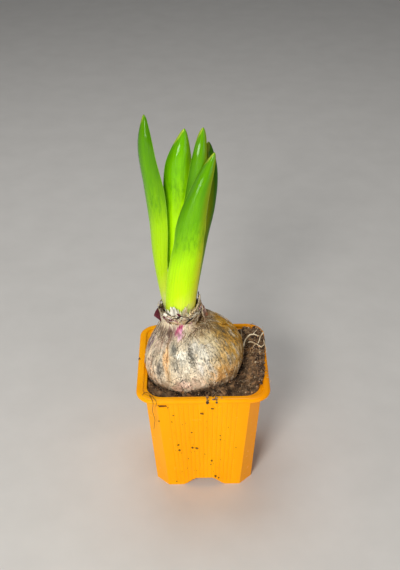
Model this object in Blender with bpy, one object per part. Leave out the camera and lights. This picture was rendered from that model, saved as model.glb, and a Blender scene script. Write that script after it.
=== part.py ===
"""A sprouting hyacinth bulb in a square plastic nursery pot.

One moulded pot, the soil that fills it, the bulb that sits in the soil, five leaves that
stand in the bulb's neck and the pale roots that lie on the soil.  Lengths are in
millimetres until they reach Blender, +Z is up, the front is -Y, and the origin is the
middle of the pot's foot.
"""
import math

import bpy
import numpy as np

MM = 0.001
GAP = 0.35                     # between pieces that touch

# Pot
POT_WIDTH = 85.0               # over the rim
POT_HEIGHT = 0.95 * POT_WIDTH
FOOT_HALF = 0.3735 * POT_WIDTH
WALL_TOP_HALF = 0.438 * POT_WIDTH
FOOT_CHAMFER = 8.0
WALL_TOP_CHAMFER = 7.1
WALL = 1.0
FLOOR = 1.2
RIM_WIDTH = 4.7
RIM_DEPTH = 2.7
RIM_CORNER = 12.5
RIM_ROLL = 0.9                 # rounding of the rim's edges
FLUTES = 15
FLUTE_PITCH = 3.2
FLUTE_DEPTH = 0.25
ARCH_HEIGHT = 5.8              # of the raised cross between the four feet
ARCH_FOOT_HALF = 13.9
ARCH_TOP_HALF = 5.2
DRAIN_RADIUS = 2.5
PLAIN_SIDE = (-1.0, 0.0, 1.0)
SOIL_SIDE = np.linspace(-1.0, 1.0, 11)
SOCKET_SHARES = (0.0, 0.08, 0.2, 0.36, 0.56, 0.78, 1.0)

# Soil
SOIL_BELOW_RIM = 4.2
SOIL_SLOPE = 0.03              # rises to the right

# Bulb
BULB_AT = (-6.3, 0.5, 86.2)    # middle of its widest ring
BULB_RADIUS = 32.8
BULB_BELOW = 22.5
BULB_ABOVE = 29.3
BULB_LEAN = (-0.31, 0.10)      # of its axis, towards +X and +Y, per unit of height
BULB_PLATE = 8.0               # radius of the flat basal plate
BULB_SHOULDER = 22.0           # height where the neck begins
NECK_AT = (-13.7, 1.2)
NECK_FLOOR = 108.6             # floor of the hole that the leaves stand in
NECK_HOLE = 10.3
SOCKET_GAP = 0.5

# Leaves: seven even stations from the foot to the tip.  x, y is the ridge of the outer
# face, half its half breadth, curl half the angle its section turns through, and face
# the side it looks to: 0 the front, 90 the right, -90 the left.
LEAF_FOOT = NECK_FLOOR + GAP
LEAVES = {
    "leaf_front": dict(
        top=230.6,
        x=(-14.0, -13.4, -11.5, -8.4, -5.7, 0.0, 7.8),
        y=(-8.1, -9.3, -10.2, -10.6, -10.2, -8.8, -6.0),
        half=(8.7, 9.4, 10.0, 9.2, 8.5, 5.7, 2.3),
        curl=(76, 68, 58, 50, 48, 50, 55),
        face=(0, 0, -2, -5, -8, -8, -8)),
    "leaf_left": dict(
        top=251.6,
        x=(-21.8, -26.8, -29.0, -29.1, -30.6, -33.3, -33.4),
        y=(4.0, 4.4, 3.7, 2.5, 1.5, 0.5, 1.0),
        half=(5.3, 7.2, 8.3, 8.8, 8.9, 6.7, 3.2),
        curl=(64, 62, 57, 52, 50, 52, 58),
        face=(-98, -77, -60, -50, -44, -40, -40)),
    "leaf_middle": dict(
        top=241.7,
        x=(-13.4, -12.7, -12.6, -13.1, -13.6, -13.3, -9.4),
        y=(-0.6, 0.6, 1.0, 1.0, 1.0, 1.5, 3.0),
        half=(3.0, 5.8, 7.8, 9.0, 9.2, 7.8, 2.8),
        curl=(70, 68, 62, 58, 56, 56, 60),
        face=(-2, -5, -8, -8, -8, -8, -8)),
    "leaf_right": dict(
        top=244.3,
        x=(-13.3, -11.7, -9.2, -6.5, -4.0, -1.5, 1.4),
        y=(-3.4, -4.0, -4.6, -4.9, -4.7, -3.8, -2.0),
        half=(4.4, 5.2, 6.2, 6.9, 6.2, 4.7, 2.7),
        curl=(75, 66, 58, 52, 50, 50, 56),
        face=(0, 0, 0, -3, -6, -8, -8)),
    "leaf_back": dict(
        top=230.6,
        x=(-5.3, -3.2, 0.3, 4.3, 8.8, 10.4, 5.6),
        y=(4.2, 6.0, 8.4, 10.2, 10.5, 10.0, 10.0),
        half=(5.2, 6.6, 8.0, 7.9, 6.8, 5.3, 3.2),
        curl=(64, 61, 58, 56, 54, 56, 60),
        face=(100, 101, 102, 100, 96, 90, 86)),
}
LEAF_ROWS = 24
LEAF_STRIPS = 8
LEAF_MIDDLE = (1.8, 1.1)       # thickness along the ridge, at the foot and at the tip
LEAF_MARGIN = 0.65
LEAF_NIB = 0.55                # half breadth of the blunt tip
TIP_STARTS = 0.86
HOOD = 1.4                     # how far the tip bows inwards

# Roots that lie on the soil: radius, then plan points with their height over it
ROOTS = (
    (0.70, ((27.6, 13.2, 0.0), (28.6, 17.2, 0.3), (31.0, 20.2, 0.6), (33.6, 20.9, 0.8),
            (36.2, 20.8, 0.6), (39.3, 20.5, 0.3))),
    (0.60, ((41.5, 25.3, 0.5), (39.5, 20.5, 0.3), (38.2, 16.0, 0.1), (36.8, 11.6, 0.1))),
    (0.55, ((30.4, 15.6, 0.0), (33.2, 15.1, 0.1), (35.6, 12.8, 0.1), (37.3, 10.7, 0.1),
            (39.3, 9.6, 0.2), (41.4, 13.0, 0.4), (41.1, 17.0, 0.7))),
    (0.50, ((37.3, 11.2, 0.1), (37.8, 6.7, 0.1), (37.7, 1.5, 0.0), (37.0, -1.4, 0.0))),
)


def spline(stations, u):
    """A smooth curve through even stations, read at u from 0 to 1 (Catmull-Rom)."""
    values = np.asarray(stations, float)
    last = len(values) - 1
    first_guard, last_guard = 2 * values[0] - values[1], 2 * values[-1] - values[-2]
    values = np.concatenate([[first_guard], values, [last_guard]])
    x = np.clip(np.asarray(u, float), 0.0, 1.0) * last
    i = np.clip(np.floor(x).astype(int), 0, last - 1)
    f = (x - i).reshape(x.shape + (1,) * (values.ndim - 1))
    a, b, c, d = values[i], values[i + 1], values[i + 2], values[i + 3]
    return 0.5 * (2 * b + (c - a) * f + (2 * a - 5 * b + 4 * c - d) * f ** 2
                  + (3 * b - a - 3 * c + d) * f ** 3)


def step(x, low, high):
    """0 below low, 1 above high and smooth between."""
    t = np.clip((np.asarray(x, float) - low) / (high - low), 0.0, 1.0)
    return t * t * (3.0 - 2.0 * t)


def material(name, colour, roughness, metallic=0.0):
    made = bpy.data.materials.new(name)
    made.use_nodes = True
    shader = made.node_tree.nodes["Principled BSDF"]
    shader.inputs["Base Color"].default_value = (*colour, 1.0)
    shader.inputs["Roughness"].default_value = roughness
    shader.inputs["Metallic"].default_value = metallic
    return made


def solid(name, points, faces, finish=None):
    """One object from points in millimetres."""
    mesh = bpy.data.meshes.new(name)
    mesh.from_pydata((np.asarray(points) * MM).tolist(), [], faces)
    made = bpy.data.objects.new(name, mesh)
    bpy.context.scene.collection.objects.link(made)
    if finish:
        mesh.materials.append(finish)
        mesh.shade_smooth()
        mesh.set_sharp_from_angle(angle=math.radians(35))
    return made


def cutter(name, points, faces):
    made = solid(name, points, faces)
    made.hide_render = True
    made.display_type = "WIRE"
    return made


def loft(rings, first_pole=None, last_pole=None):
    """Points and triangles of a skin over closed rings, shut by a fan at each pole.

    The rings run anticlockwise about the way they climb, so the faces look outwards.
    Each patch of four points is cut along its shorter diagonal.
    """
    rings = np.asarray(rings, float)
    count, around = rings.shape[:2]
    first = rings[0].mean(axis=0) if first_pole is None else first_pole
    last = rings[-1].mean(axis=0) if last_pole is None else last_pole
    points = np.concatenate([rings.reshape(-1, 3), [first], [last]])
    foot, top = count * around, count * around + 1
    faces = []
    for i in range(count - 1):
        for j in range(around):
            a, b = i * around + j, i * around + (j + 1) % around
            c, d = b + around, a + around
            if math.dist(points[a], points[c]) <= math.dist(points[b], points[d]):
                faces += [(a, b, c), (a, c, d)]
            else:
                faces += [(a, b, d), (b, c, d)]
    for j in range(around):
        k = (j + 1) % around
        faces.append((foot, k, j))
        faces.append((top, (count - 1) * around + j, (count - 1) * around + k))
    return points, faces


def boolean(target, other, operation):
    change = target.modifiers.new(other.name, "BOOLEAN")
    change.operation = operation
    change.solver = "EXACT"
    change.object = other


def section(half, corner, rounding, z, along, turns=6):
    """A square ring with cut corners, anticlockwise from above.

    along holds the points of a side as fractions of its straight run, from -1 to 1.
    rounding 0 cuts the corners straight and 1 makes them arcs.
    """
    run = half - corner
    side = np.stack([np.asarray(along) * run, np.full(len(along), -half)], axis=1)
    t = np.linspace(0.0, 1.0, turns + 1)[1:-1]
    arc = np.stack([run + corner * np.sin(t * np.pi / 2),
                    -run - corner * np.cos(t * np.pi / 2)], axis=1)
    cut = np.stack([run + corner * t, -half + corner * t], axis=1)
    quarter = np.concatenate([side, cut + (arc - cut) * rounding])
    ring = []
    for turn in range(4):
        c, s = math.cos(turn * math.pi / 2), math.sin(turn * math.pi / 2)
        ring.append(quarter @ np.array([[c, s], [-s, c]]))
    ring = np.concatenate(ring)
    return np.column_stack([ring, np.full(len(ring), z)])


def wall_half(z):
    """Half width of the outside of the wall."""
    return FOOT_HALF + (WALL_TOP_HALF - FOOT_HALF) * z / POT_HEIGHT


def wall_chamfer(z):
    return FOOT_CHAMFER + (WALL_TOP_CHAMFER - FOOT_CHAMFER) * z / POT_HEIGHT


def cavity_section(z, inset, along):
    """The pot's inside at a height, inset by a gap: chamfered below, round at the rim."""
    flare = step(z, POT_HEIGHT - 1.9, POT_HEIGHT - RIM_ROLL)
    half = wall_half(z) - WALL
    rim_half = POT_WIDTH / 2 - RIM_WIDTH
    corner = wall_chamfer(z) - WALL * math.tan(math.pi / 8)
    half = half + (rim_half - half) * flare
    corner = corner + (RIM_CORNER - RIM_WIDTH - corner) * flare
    return section(half - inset, corner, float(flare), z, along)


def arch(name, grow, turned):
    """A prism with sloping sides, under the floor from face to face."""
    foot, top, high = ARCH_FOOT_HALF + grow, ARCH_TOP_HALF + 0.6 * grow, ARCH_HEIGHT + grow
    reach = POT_WIDTH
    outline = [(-foot - 1.0, -1.0), (foot + 1.0, -1.0), (foot, 0.0), (top, high),
               (-top, high), (-foot, 0.0)]
    points = [(x, -reach, z) for x, z in outline] + [(x, reach, z) for x, z in outline]
    if turned:
        points = [(-y, x, z) for x, y, z in points]
    count = len(outline)
    faces = [tuple(range(count)), tuple(reversed(range(count, 2 * count)))]
    for i in range(count):
        j = (i + 1) % count
        faces.append((j, i, i + count, j + count))
    return cutter(name, points, faces)


def cylinder_cutter(name, x, y, radius, low, high, sides=16):
    turn = np.arange(sides) * 2 * np.pi / sides
    ring = np.stack([x + radius * np.cos(turn), y + radius * np.sin(turn)], axis=1)
    rings = [np.column_stack([ring, np.full(sides, z)]) for z in (low, high)]
    return cutter(name, *loft(rings))


def make_pot(finish):
    """The moulded pot: fluted walls, cut corners, a rolled rim and four feet."""
    panel = FLUTE_PITCH * FLUTES / 2 / (WALL_TOP_HALF - WALL_TOP_CHAMFER)
    along = np.concatenate([[-1.0], np.linspace(-panel, panel, 2 * FLUTES + 1), [1.0]])
    side = len(along)
    valley = np.zeros(side)
    valley[2:-1:2] = FLUTE_DEPTH

    def wall_ring(z, depth):
        ring = section(wall_half(z), wall_chamfer(z), 0.0, z, along)
        inwards = np.array([[0, 1], [-1, 0], [0, -1], [1, 0]], float)
        each = len(ring) // 4
        for turn in range(4):
            span = slice(turn * each, turn * each + side)
            ring[span, :2] += inwards[turn] * (valley * depth)[:, None]
        return ring

    def rim_ring(half, z):
        shrink = POT_WIDTH / 2 - half
        return section(half, RIM_CORNER - shrink, 1.0, z, PLAIN_SIDE, 9)

    lip = POT_HEIGHT - RIM_DEPTH
    under = POT_HEIGHT - 1.1
    out = POT_WIDTH / 2
    collar = WALL_TOP_HALF + 1.5
    rings = [wall_ring(0.0, 0.0), wall_ring(1.5, 1.0), wall_ring(lip - 2.0, 1.0),
             wall_ring(lip - 0.5, 0.0), wall_ring(under + 0.4, 0.0)]
    pot = solid("pot", *loft(rings), finish)

    rings = [rim_ring(collar - 0.6, lip + 0.4), rim_ring(collar, lip + 1.0),
             rim_ring(collar, under), rim_ring(out - 1.1, under), rim_ring(out - 1.0, lip),
             rim_ring(out - 0.3, lip), rim_ring(out, lip + 0.4)]
    for turn in np.radians((0, 30, 60, 90)):
        rings.append(rim_ring(out - RIM_ROLL + RIM_ROLL * math.cos(turn),
                              POT_HEIGHT - RIM_ROLL + RIM_ROLL * math.sin(turn)))
    boolean(pot, cutter("pot_rim", *loft(rings)), "UNION")

    inner = out - RIM_WIDTH
    rings = [cavity_section(z, 0.0, PLAIN_SIDE) for z in
             (FLOOR, POT_HEIGHT - 1.9, POT_HEIGHT - 1.4, POT_HEIGHT - RIM_ROLL)]
    for turn in np.radians((35, 70)):
        grow = RIM_ROLL * (1.0 - math.cos(turn))
        z = POT_HEIGHT - RIM_ROLL + RIM_ROLL * math.sin(turn)
        rings.append(section(inner + grow, RIM_CORNER - RIM_WIDTH + grow, 1.0, z, PLAIN_SIDE))
    rings.append(section(inner + RIM_ROLL, RIM_CORNER - RIM_WIDTH + RIM_ROLL, 1.0,
                         POT_HEIGHT + 1.0, PLAIN_SIDE))
    cavity = cutter("pot_cavity", *loft(rings))
    for turned in (False, True):
        boolean(cavity, arch(f"floor_over_arch_{int(turned)}", FLOOR, turned), "DIFFERENCE")
    boolean(pot, cavity, "DIFFERENCE")
    for turned in (False, True):
        boolean(pot, arch(f"arch_{int(turned)}", 0.0, turned), "DIFFERENCE")
    reach = 0.6 * FOOT_HALF
    for k, (x, y) in enumerate([(0, 0), (reach, 0), (-reach, 0), (0, reach), (0, -reach)]):
        hole = cylinder_cutter(f"drain_{k}", x, y, DRAIN_RADIUS, ARCH_HEIGHT - 1, ARCH_HEIGHT + 3)
        boolean(pot, hole, "DIFFERENCE")
    return pot


def soil_height(x, y):
    """Top of the soil: a little below the rim, heaped at the right and the back right."""
    level = POT_HEIGHT - SOIL_BELOW_RIM + SOIL_SLOPE * x
    corner = 8.0 * np.exp(-((x - 36) ** 2 + (y - 34) ** 2) / 17.0 ** 2)
    side = 4.0 * np.exp(-((x - 36) / 11.0) ** 2 - ((y - 6) / 20.0) ** 2)
    lumps = 0.5 * np.sin(0.31 * x + 1.0) * np.sin(0.27 * y) + 0.3 * np.sin(0.53 * x - 0.47 * y)
    return level + corner + side + lumps


def bulb_frame():
    """The bulb's axis and the two directions across it."""
    axis = np.array([BULB_LEAN[0], BULB_LEAN[1], 1.0])
    axis /= np.linalg.norm(axis)
    right = np.array([1.0, 0.0, 0.0]) - axis * axis[0]
    right /= np.linalg.norm(right)
    return axis, right, np.cross(axis, right)


def bulb_radius(h):
    """Its radius at a height over the widest ring: squat below, drawn in above."""
    h = np.asarray(h, float)
    below = np.clip(1.0 - (np.clip(-h, 0, None) / BULB_BELOW) ** 2.1, 0, 1) ** (1 / 2.1)
    above = np.clip(1.0 - (np.clip(h, 0, None) / BULB_ABOVE) ** 1.7, 0, 1) ** (1 / 1.7)
    return BULB_RADIUS * np.where(h < 0, below, above)


def bulb_point(h, turn, grow=0.0):
    """Points of the bulb's skin, swollen by grow, kept off the wall that it leans on."""
    axis, right, back = bulb_frame()
    h, turn = np.broadcast_arrays(np.asarray(h, float), np.asarray(turn, float))
    lobes = 1.0 + 0.008 * np.sin(3 * turn + 0.6) + 0.005 * np.sin(5 * turn + 2.0)
    radius = bulb_radius(h) * lobes + grow
    lift = h * (1.0 + grow / BULB_BELOW)
    point = (np.array(BULB_AT) + lift[..., None] * axis
             + (radius * np.cos(turn))[..., None] * right
             + (radius * np.sin(turn))[..., None] * back)
    over_soil = np.clip(point[..., 2] - (POT_HEIGHT - SOIL_BELOW_RIM - 1.4), 0, None)
    room = 33.8 + 0.53 * over_soil + 0.5 * np.clip(over_soil - 5.8, 0, None) + grow
    left = -point[..., 0]
    over = left - room
    point[..., 0] = -np.where(over > -1.0, room - 1.0 + np.tanh(np.clip(over + 1.0, 0, 9)), left)
    return point


def ragged(turn, seed, waves):
    """A torn edge: a few sine waves with seeded phases, between -1 and 1."""
    draw = np.random.default_rng(seed)
    total = np.zeros_like(turn)
    for wave in waves:
        total += np.sin(wave * turn + draw.uniform(0, 2 * np.pi))
    return total / len(waves)


def plate_height():
    """Where the flat basal plate cuts the bulb, under its widest ring."""
    return -BULB_BELOW * math.sqrt(1 - (BULB_PLATE / BULB_RADIUS) ** 2)


def brim_turns():
    """The directions from the bulb's middle to the points of the soil's edge."""
    brim = cavity_section(POT_HEIGHT - SOIL_BELOW_RIM, GAP, SOIL_SIDE)
    return np.arctan2(brim[:, 1] - BULB_AT[1], brim[:, 0] - BULB_AT[0])


def contact_heights(turn):
    """How far up the bulb the soil reaches in each direction, by halving."""
    low, high = np.full(len(turn), plate_height()), np.full(len(turn), 20.0)
    for _ in range(40):
        middle = (low + high) / 2
        skin = bulb_point(middle, turn, SOCKET_GAP)
        inside = skin[:, 2] < soil_height(skin[:, 0], skin[:, 1]) - 0.3
        low, high = np.where(inside, middle, low), np.where(inside, high, middle)
    return low


def make_bulb(finish):
    """The bulb with its torn neck, whose hole holds the leaves."""
    turn = brim_turns()
    foot, contact = plate_height(), contact_heights(turn)
    rings = [bulb_point(foot + (contact - foot) * share, turn) for share in SOCKET_SHARES]
    for share in (0.22, 0.44, 0.64, 0.82, 1.0):
        rings.append(bulb_point(contact + (BULB_SHOULDER - contact) * share, turn))

    def neck_ring(radius, z):
        flare = 0.13 * np.clip(0.4 - 0.6 * np.cos(turn) + 0.8 * np.sin(turn), 0, 1)
        wide = radius + flare * np.clip(z - NECK_FLOOR, 0, None)
        return np.stack([NECK_AT[0] + wide * np.cos(turn), NECK_AT[1] + wide * np.sin(turn),
                         np.broadcast_to(z, turn.shape)], axis=1)

    front = np.exp(-(np.remainder(turn - 0.5 * np.pi, 2 * np.pi) - np.pi) ** 2 / 0.56)
    outer_top = 117.0 + 0.9 * ragged(turn, 3, (5, 9, 14))
    inner_top = 118.9 + 6.0 * front + 0.9 * ragged(turn, 8, (4, 7, 11))
    neck = [neck_ring(11.9, 113.4), neck_ring(12.4, outer_top), neck_ring(11.8, outer_top + 0.2),
            neck_ring(11.6, 115.4), neck_ring(11.3, inner_top), neck_ring(10.6, inner_top),
            neck_ring(NECK_HOLE + 0.1, 114.0), neck_ring(NECK_HOLE, NECK_FLOOR)]
    pole = np.array(BULB_AT) + bulb_frame()[0] * foot
    hole_floor = np.array([NECK_AT[0], NECK_AT[1], NECK_FLOOR])
    bulb = solid("bulb", *loft(rings + neck, pole, hole_floor), finish)
    boolean(bulb, scale_left(), "UNION")
    boolean(bulb, scale_right(), "UNION")
    return bulb


def scale_left():
    """A torn flake of dry scale that stands out from the left of the neck."""
    outline = [(-25.2, 112.6), (-27.0, 111.2), (-30.6, 117.4), (-29.2, 121.0),
               (-27.4, 124.2), (-26.6, 121.0), (-25.7, 117.0)]
    points = [(x, y + 0.10 * (x + 26), z) for y in (0.8, 1.7) for x, z in outline]
    count = len(outline)
    faces = [tuple(range(count)), tuple(reversed(range(count, 2 * count)))]
    for i in range(count):
        j = (i + 1) % count
        faces.append((j, i, i + count, j + count))
    return cutter("scale_left", points, faces)


def scale_right():
    """A broad dry scale that rises from the right shoulder to a narrow tip."""
    v = np.linspace(0.0, 1.0, 8)[:, None]
    s = np.linspace(-1.0, 1.0, 7)[None, :]
    turn = np.radians(-8.0) + s * np.radians(30.0) * (1.0 - 0.93 * v ** 0.8)
    height = 109.5 + 21.5 * v + 0 * s
    radius = 21.8 - 9.7 * v

    def face(inset):
        return np.stack([NECK_AT[0] + (radius - inset) * np.cos(turn),
                         NECK_AT[1] + (radius - inset) * np.sin(turn), height], axis=2)

    rings = np.concatenate([face(0.0), face(0.9)[:, ::-1]], axis=1)
    return cutter("scale_right", *loft(rings))


def make_leaf(name, leaf, finish):
    """A channelled blade: an arc of a section carried up a curved ridge.

    The section turns through twice its curl, its inner face lies one thickness inside
    the outer one, and towards the tip the half breadth falls off as an ellipse does.
    """
    u = np.linspace(0.0, 1.0, LEAF_ROWS + 1) ** 0.92
    s = np.linspace(-1.0, 1.0, LEAF_STRIPS + 1)
    tip = np.clip((u - TIP_STARTS) / (1.0 - TIP_STARTS), 0.0, 1.0)
    half = spline(leaf["half"], u) * np.sqrt(np.clip(1.0 - tip ** 2, 0.0, 1.0))
    half = np.maximum(half, LEAF_NIB)
    curl = np.radians(spline(leaf["curl"], u))
    face = np.radians(spline(leaf["face"], u))
    radius = half / np.sin(curl)
    out = np.stack([np.sin(face), -np.cos(face), 0 * face], axis=1)
    across = np.stack([np.cos(face), np.sin(face), 0 * face], axis=1)
    z = LEAF_FOOT + (leaf["top"] - LEAF_FOOT) * u
    ridge = np.stack([spline(leaf["x"], u), spline(leaf["y"], u), z], axis=1)
    ridge -= out * (HOOD * tip ** 2)[:, None]
    turn = s[None, :] * curl[:, None]
    outer = (ridge[:, None] + across[:, None] * (radius[:, None] * np.sin(turn))[..., None]
             - out[:, None] * (radius[:, None] * (1.0 - np.cos(turn)))[..., None])
    middle = LEAF_MIDDLE[0] + (LEAF_MIDDLE[1] - LEAF_MIDDLE[0]) * u
    thick = LEAF_MARGIN + (middle[:, None] - LEAF_MARGIN) * (1.0 - s[None, :] ** 2)
    spread = np.clip(radius / 4.0, 0.0, 1.0)[:, None] * turn
    normal = (out[:, None] * np.cos(spread)[..., None]
              + across[:, None] * np.sin(spread)[..., None])
    inner = outer - normal * thick[..., None]
    rings = np.concatenate([outer, inner[:, ::-1]], axis=1)
    return solid(name, *loft(rings), finish)


def root_solid(name, radius, route, finish=None):
    """A root: a six-sided tube along a smooth route over the soil."""
    route = np.array(route)
    u = np.linspace(0.0, 1.0, 3 * (len(route) - 1) + 1)
    path = spline(route, u)
    path[:, 2] += soil_height(path[:, 0], path[:, 1]) + radius + GAP + 0.15
    along = np.gradient(path, axis=0)
    along /= np.linalg.norm(along, axis=1)[:, None]
    side = np.cross(along, (0.0, 0.0, 1.0))
    side /= np.linalg.norm(side, axis=1)[:, None]
    up = np.cross(side, along)
    turn = np.arange(6) * np.pi / 3
    thin = np.interp(u, (0.0, 0.12, 0.85, 1.0), (0.8, 1.0, 1.0, 0.75)) * radius
    rings = (path[:, None] + side[:, None] * (thin[:, None] * np.cos(turn))[..., None]
             - up[:, None] * (thin[:, None] * np.sin(turn))[..., None])
    points, faces = loft(rings)
    return solid(name, points, faces, finish) if finish else cutter(name, points, faces)


def make_roots(finish):
    """The pale roots that lie at the back right, grown into one another."""
    roots = root_solid("surface_roots", *ROOTS[0], finish)
    for k, (radius, route) in enumerate(ROOTS[1:]):
        boolean(roots, root_solid(f"root_{k + 1}", radius, route), "UNION")
    return roots


def make_soil(finish):
    """The soil: a solid that fills the pot, with the socket that the bulb sits in."""
    low = FLOOR + GAP
    turn = brim_turns()
    foot, contact = plate_height(), contact_heights(turn)
    crack = 1.3 * np.exp(-((turn + 0.45) / 0.55) ** 2)
    rings = []
    for share in SOCKET_SHARES:
        heights = foot + (contact - foot) * share
        rings.append(bulb_point(heights, turn, SOCKET_GAP + crack * share ** 2))
    lip = rings[-1][:, :2]
    edge = cavity_section(POT_HEIGHT - SOIL_BELOW_RIM, GAP + 0.1, SOIL_SIDE)[:, :2]
    for share in (0.07, 0.2, 0.4, 0.6, 0.8, 1.0):
        plan = lip + (edge - lip) * share
        rings.append(np.column_stack([plan, soil_height(plan[:, 0], plan[:, 1])]))
    for z in (POT_HEIGHT - SOIL_BELOW_RIM - 4.0, POT_HEIGHT / 2, low):
        rings.append(cavity_section(z, GAP, SOIL_SIDE))
    pole = np.array(BULB_AT) + bulb_frame()[0] * foot * (1.0 + SOCKET_GAP / BULB_BELOW)
    soil = solid("soil", *loft(rings[::-1], (0.0, 0.0, low), pole), finish)
    for turned in (False, True):
        over = arch(f"soil_over_arch_{int(turned)}", FLOOR + GAP, turned)
        boolean(soil, over, "DIFFERENCE")
    return soil


def main():
    for old in list(bpy.data.objects):
        bpy.data.objects.remove(old, do_unlink=True)
    make_pot(material("amber_plastic", (0.95, 0.42, 0.01), 0.32))
    make_soil(material("compost", (0.06, 0.045, 0.035), 0.95))
    make_bulb(material("papery_tunic", (0.52, 0.44, 0.33), 0.75))
    leaf_green = material("leaf_green", (0.30, 0.62, 0.03), 0.35)
    for name, leaf in LEAVES.items():
        make_leaf(name, leaf, leaf_green)
    make_roots(material("pale_root", (0.80, 0.72, 0.55), 0.5))


main()
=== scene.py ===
"""A sprouting hyacinth bulb in a square nursery pot: the looks built round the solids.

Shapes are worked out in millimetres as whole arrays and become metres when a mesh is made.
The front is -Y and +Z is up, as in the frame.
"""
import math

import bpy
import numpy as np
from mathutils import Matrix, Vector


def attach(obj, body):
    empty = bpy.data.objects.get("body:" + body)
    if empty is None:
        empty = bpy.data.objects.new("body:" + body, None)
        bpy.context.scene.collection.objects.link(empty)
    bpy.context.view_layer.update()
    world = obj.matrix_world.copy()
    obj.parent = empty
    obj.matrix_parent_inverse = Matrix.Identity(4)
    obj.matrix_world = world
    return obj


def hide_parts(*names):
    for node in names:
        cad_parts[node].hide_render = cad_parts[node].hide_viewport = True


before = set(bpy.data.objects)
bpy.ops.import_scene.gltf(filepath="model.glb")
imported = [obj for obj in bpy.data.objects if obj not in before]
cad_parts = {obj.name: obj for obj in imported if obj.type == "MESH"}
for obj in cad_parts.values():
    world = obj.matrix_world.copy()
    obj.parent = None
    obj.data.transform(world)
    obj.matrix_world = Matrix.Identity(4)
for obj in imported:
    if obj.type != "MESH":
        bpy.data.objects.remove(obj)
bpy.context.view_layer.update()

MM = 0.001

# Pot
POT_WIDTH = 85.0
POT_HEIGHT = 0.95 * POT_WIDTH
FOOT_HALF = 0.3735 * POT_WIDTH
WALL_TOP_HALF = 0.438 * POT_WIDTH
FOOT_CHAMFER = 8.0
WALL_TOP_CHAMFER = 7.1
WALL = 1.0
FLOOR = 1.2
RIM_WIDTH = 4.7
RIM_DEPTH = 2.7
RIM_CORNER = 12.5
RIM_ROLL = 1.1
RIM_DOME = (2.5, 1.5)
ROUND_INSIDE = 10.6
ROUNDS_FROM, ROUNDS_TO = POT_HEIGHT - 13.0, POT_HEIGHT - 8.0
FLARES_FROM = POT_HEIGHT - 1.9
FLUTES = 15
FLUTE_PITCH = 3.2
FLUTE_DEPTH = 0.26
FLUTE_POINTS = 12
ARCH_HEIGHT = 5.8
ARCH_FOOT_HALF = 13.9
ARCH_TOP_HALF = 5.2
DRAIN_RADIUS = 2.5

# Soil
SOIL_BELOW_RIM = 4.2
SOIL_SLOPE = 0.03
SOCKET_GAP = 0.4

# Bulb
BULB_AT = (-6.3, 0.5, 86.2)
BULB_RADIUS = 32.8
BULB_BELOW = 22.5
BULB_ABOVE = 29.3
BULB_LEAN = (-0.31, 0.10)
BULB_PLATE = 8.0
BULB_SHOULDER = 22.0
BULB_AROUND = 440
BULB_ROWS = 146
ROOM_AT_LEFT = 33.8
NECK_AT = (-13.7, 1.2)
NECK_FLOOR = 108.6
NECK_HOLE = 10.3
# Radius and height of the neck's rings: up, over its edge and down into the hole.
NECK_RINGS = ((11.9, 113.4), (12.1, 114.4), (12.2, 115.4), (11.9, 116.2), (11.3, 116.4),
              (10.8, 116.0), (10.5, 114.5), (NECK_HOLE, 112.0), (NECK_HOLE, NECK_FLOOR))

# Leaves: seven even stations from the foot to the tip.  x, y is the ridge of the outer
# face, half its half breadth, curl half the angle its section turns through, face the
# side it looks to.  green tells where along the blade the lime foot ends, dark how deep the
# green above is, lit how far painted light and painted shade brighten or darken the whole
# blade, olive how much of one margin is dulled by painted shade with warm reflected light
# (below zero the other margin), and gloss how much it shines.
LEAF_FOOT = NECK_FLOOR + 0.35
LEAVES = {
    "leaf_front": dict(
        top=230.6,
        x=(-14.0, -13.4, -11.5, -8.4, -5.7, 0.0, 7.8),
        y=(-8.1, -9.3, -10.2, -10.6, -10.2, -8.8, -6.0),
        half=(8.7, 9.4, 10.0, 9.2, 8.5, 5.7, 3.0),
        curl=(76, 68, 58, 50, 48, 50, 55),
        face=(0, 0, -2, -5, -8, -8, -8), green=0.52, dark=1.2, lit=0.97, olive=1.0),
    "leaf_left": dict(
        top=251.6,
        x=(-21.8, -26.8, -29.0, -29.1, -30.6, -33.3, -33.4),
        y=(4.0, 4.4, 3.7, 2.5, 1.5, 0.5, 1.0),
        half=(5.3, 7.2, 8.3, 8.8, 8.9, 6.7, 3.6),
        curl=(64, 62, 57, 52, 50, 52, 58),
        face=(-98, -77, -60, -50, -44, -40, -40), green=0.585, dark=1.2, lit=0.79, olive=0.0),
    "leaf_middle": dict(
        top=241.7,
        x=(-13.4, -12.7, -12.6, -13.1, -13.6, -13.3, -9.4),
        y=(-0.6, 0.6, 1.0, 1.0, 1.0, 1.5, 3.0),
        half=(4.6, 7.8, 9.3, 9.7, 9.4, 7.8, 3.5),
        curl=(62, 42, 31, 30, 38, 52, 60),
        face=(-2, -5, -8, -8, -8, -8, -8), green=0.68, dark=1.2, lit=1.1, olive=0.4),
    "leaf_right": dict(
        top=244.3,
        x=(-13.3, -11.7, -9.2, -6.5, -4.0, -1.5, 1.4),
        y=(-3.4, -4.0, -4.6, -4.9, -4.7, -3.8, -2.0),
        half=(4.4, 5.2, 6.2, 6.9, 6.2, 4.7, 3.4),
        curl=(75, 66, 58, 52, 50, 50, 56),
        face=(0, 0, 0, -3, -6, -8, -8), green=0.48, dark=1.15, lit=0.9, olive=0.7),
    "leaf_back": dict(
        top=230.6,
        x=(-5.3, -3.2, 0.3, 4.3, 8.8, 10.3, 6.8),
        y=(4.2, 6.0, 8.4, 10.2, 10.5, 10.0, 10.0),
        half=(5.2, 6.6, 8.0, 7.9, 6.8, 5.6, 4.6),
        curl=(64, 61, 60, 66, 76, 78, 56),
        face=(100, 101, 102, 100, 94, 78, 48), green=0.40, dark=1.5, lit=0.62, olive=-1.0,
        gloss=0.06),
}
LEAF_ROWS = 170
LEAF_STRIPS = 40
LEAF_MIDDLE = (1.8, 0.9)
LEAF_MARGIN = 0.3
LEAF_NIB = 0.35
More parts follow.
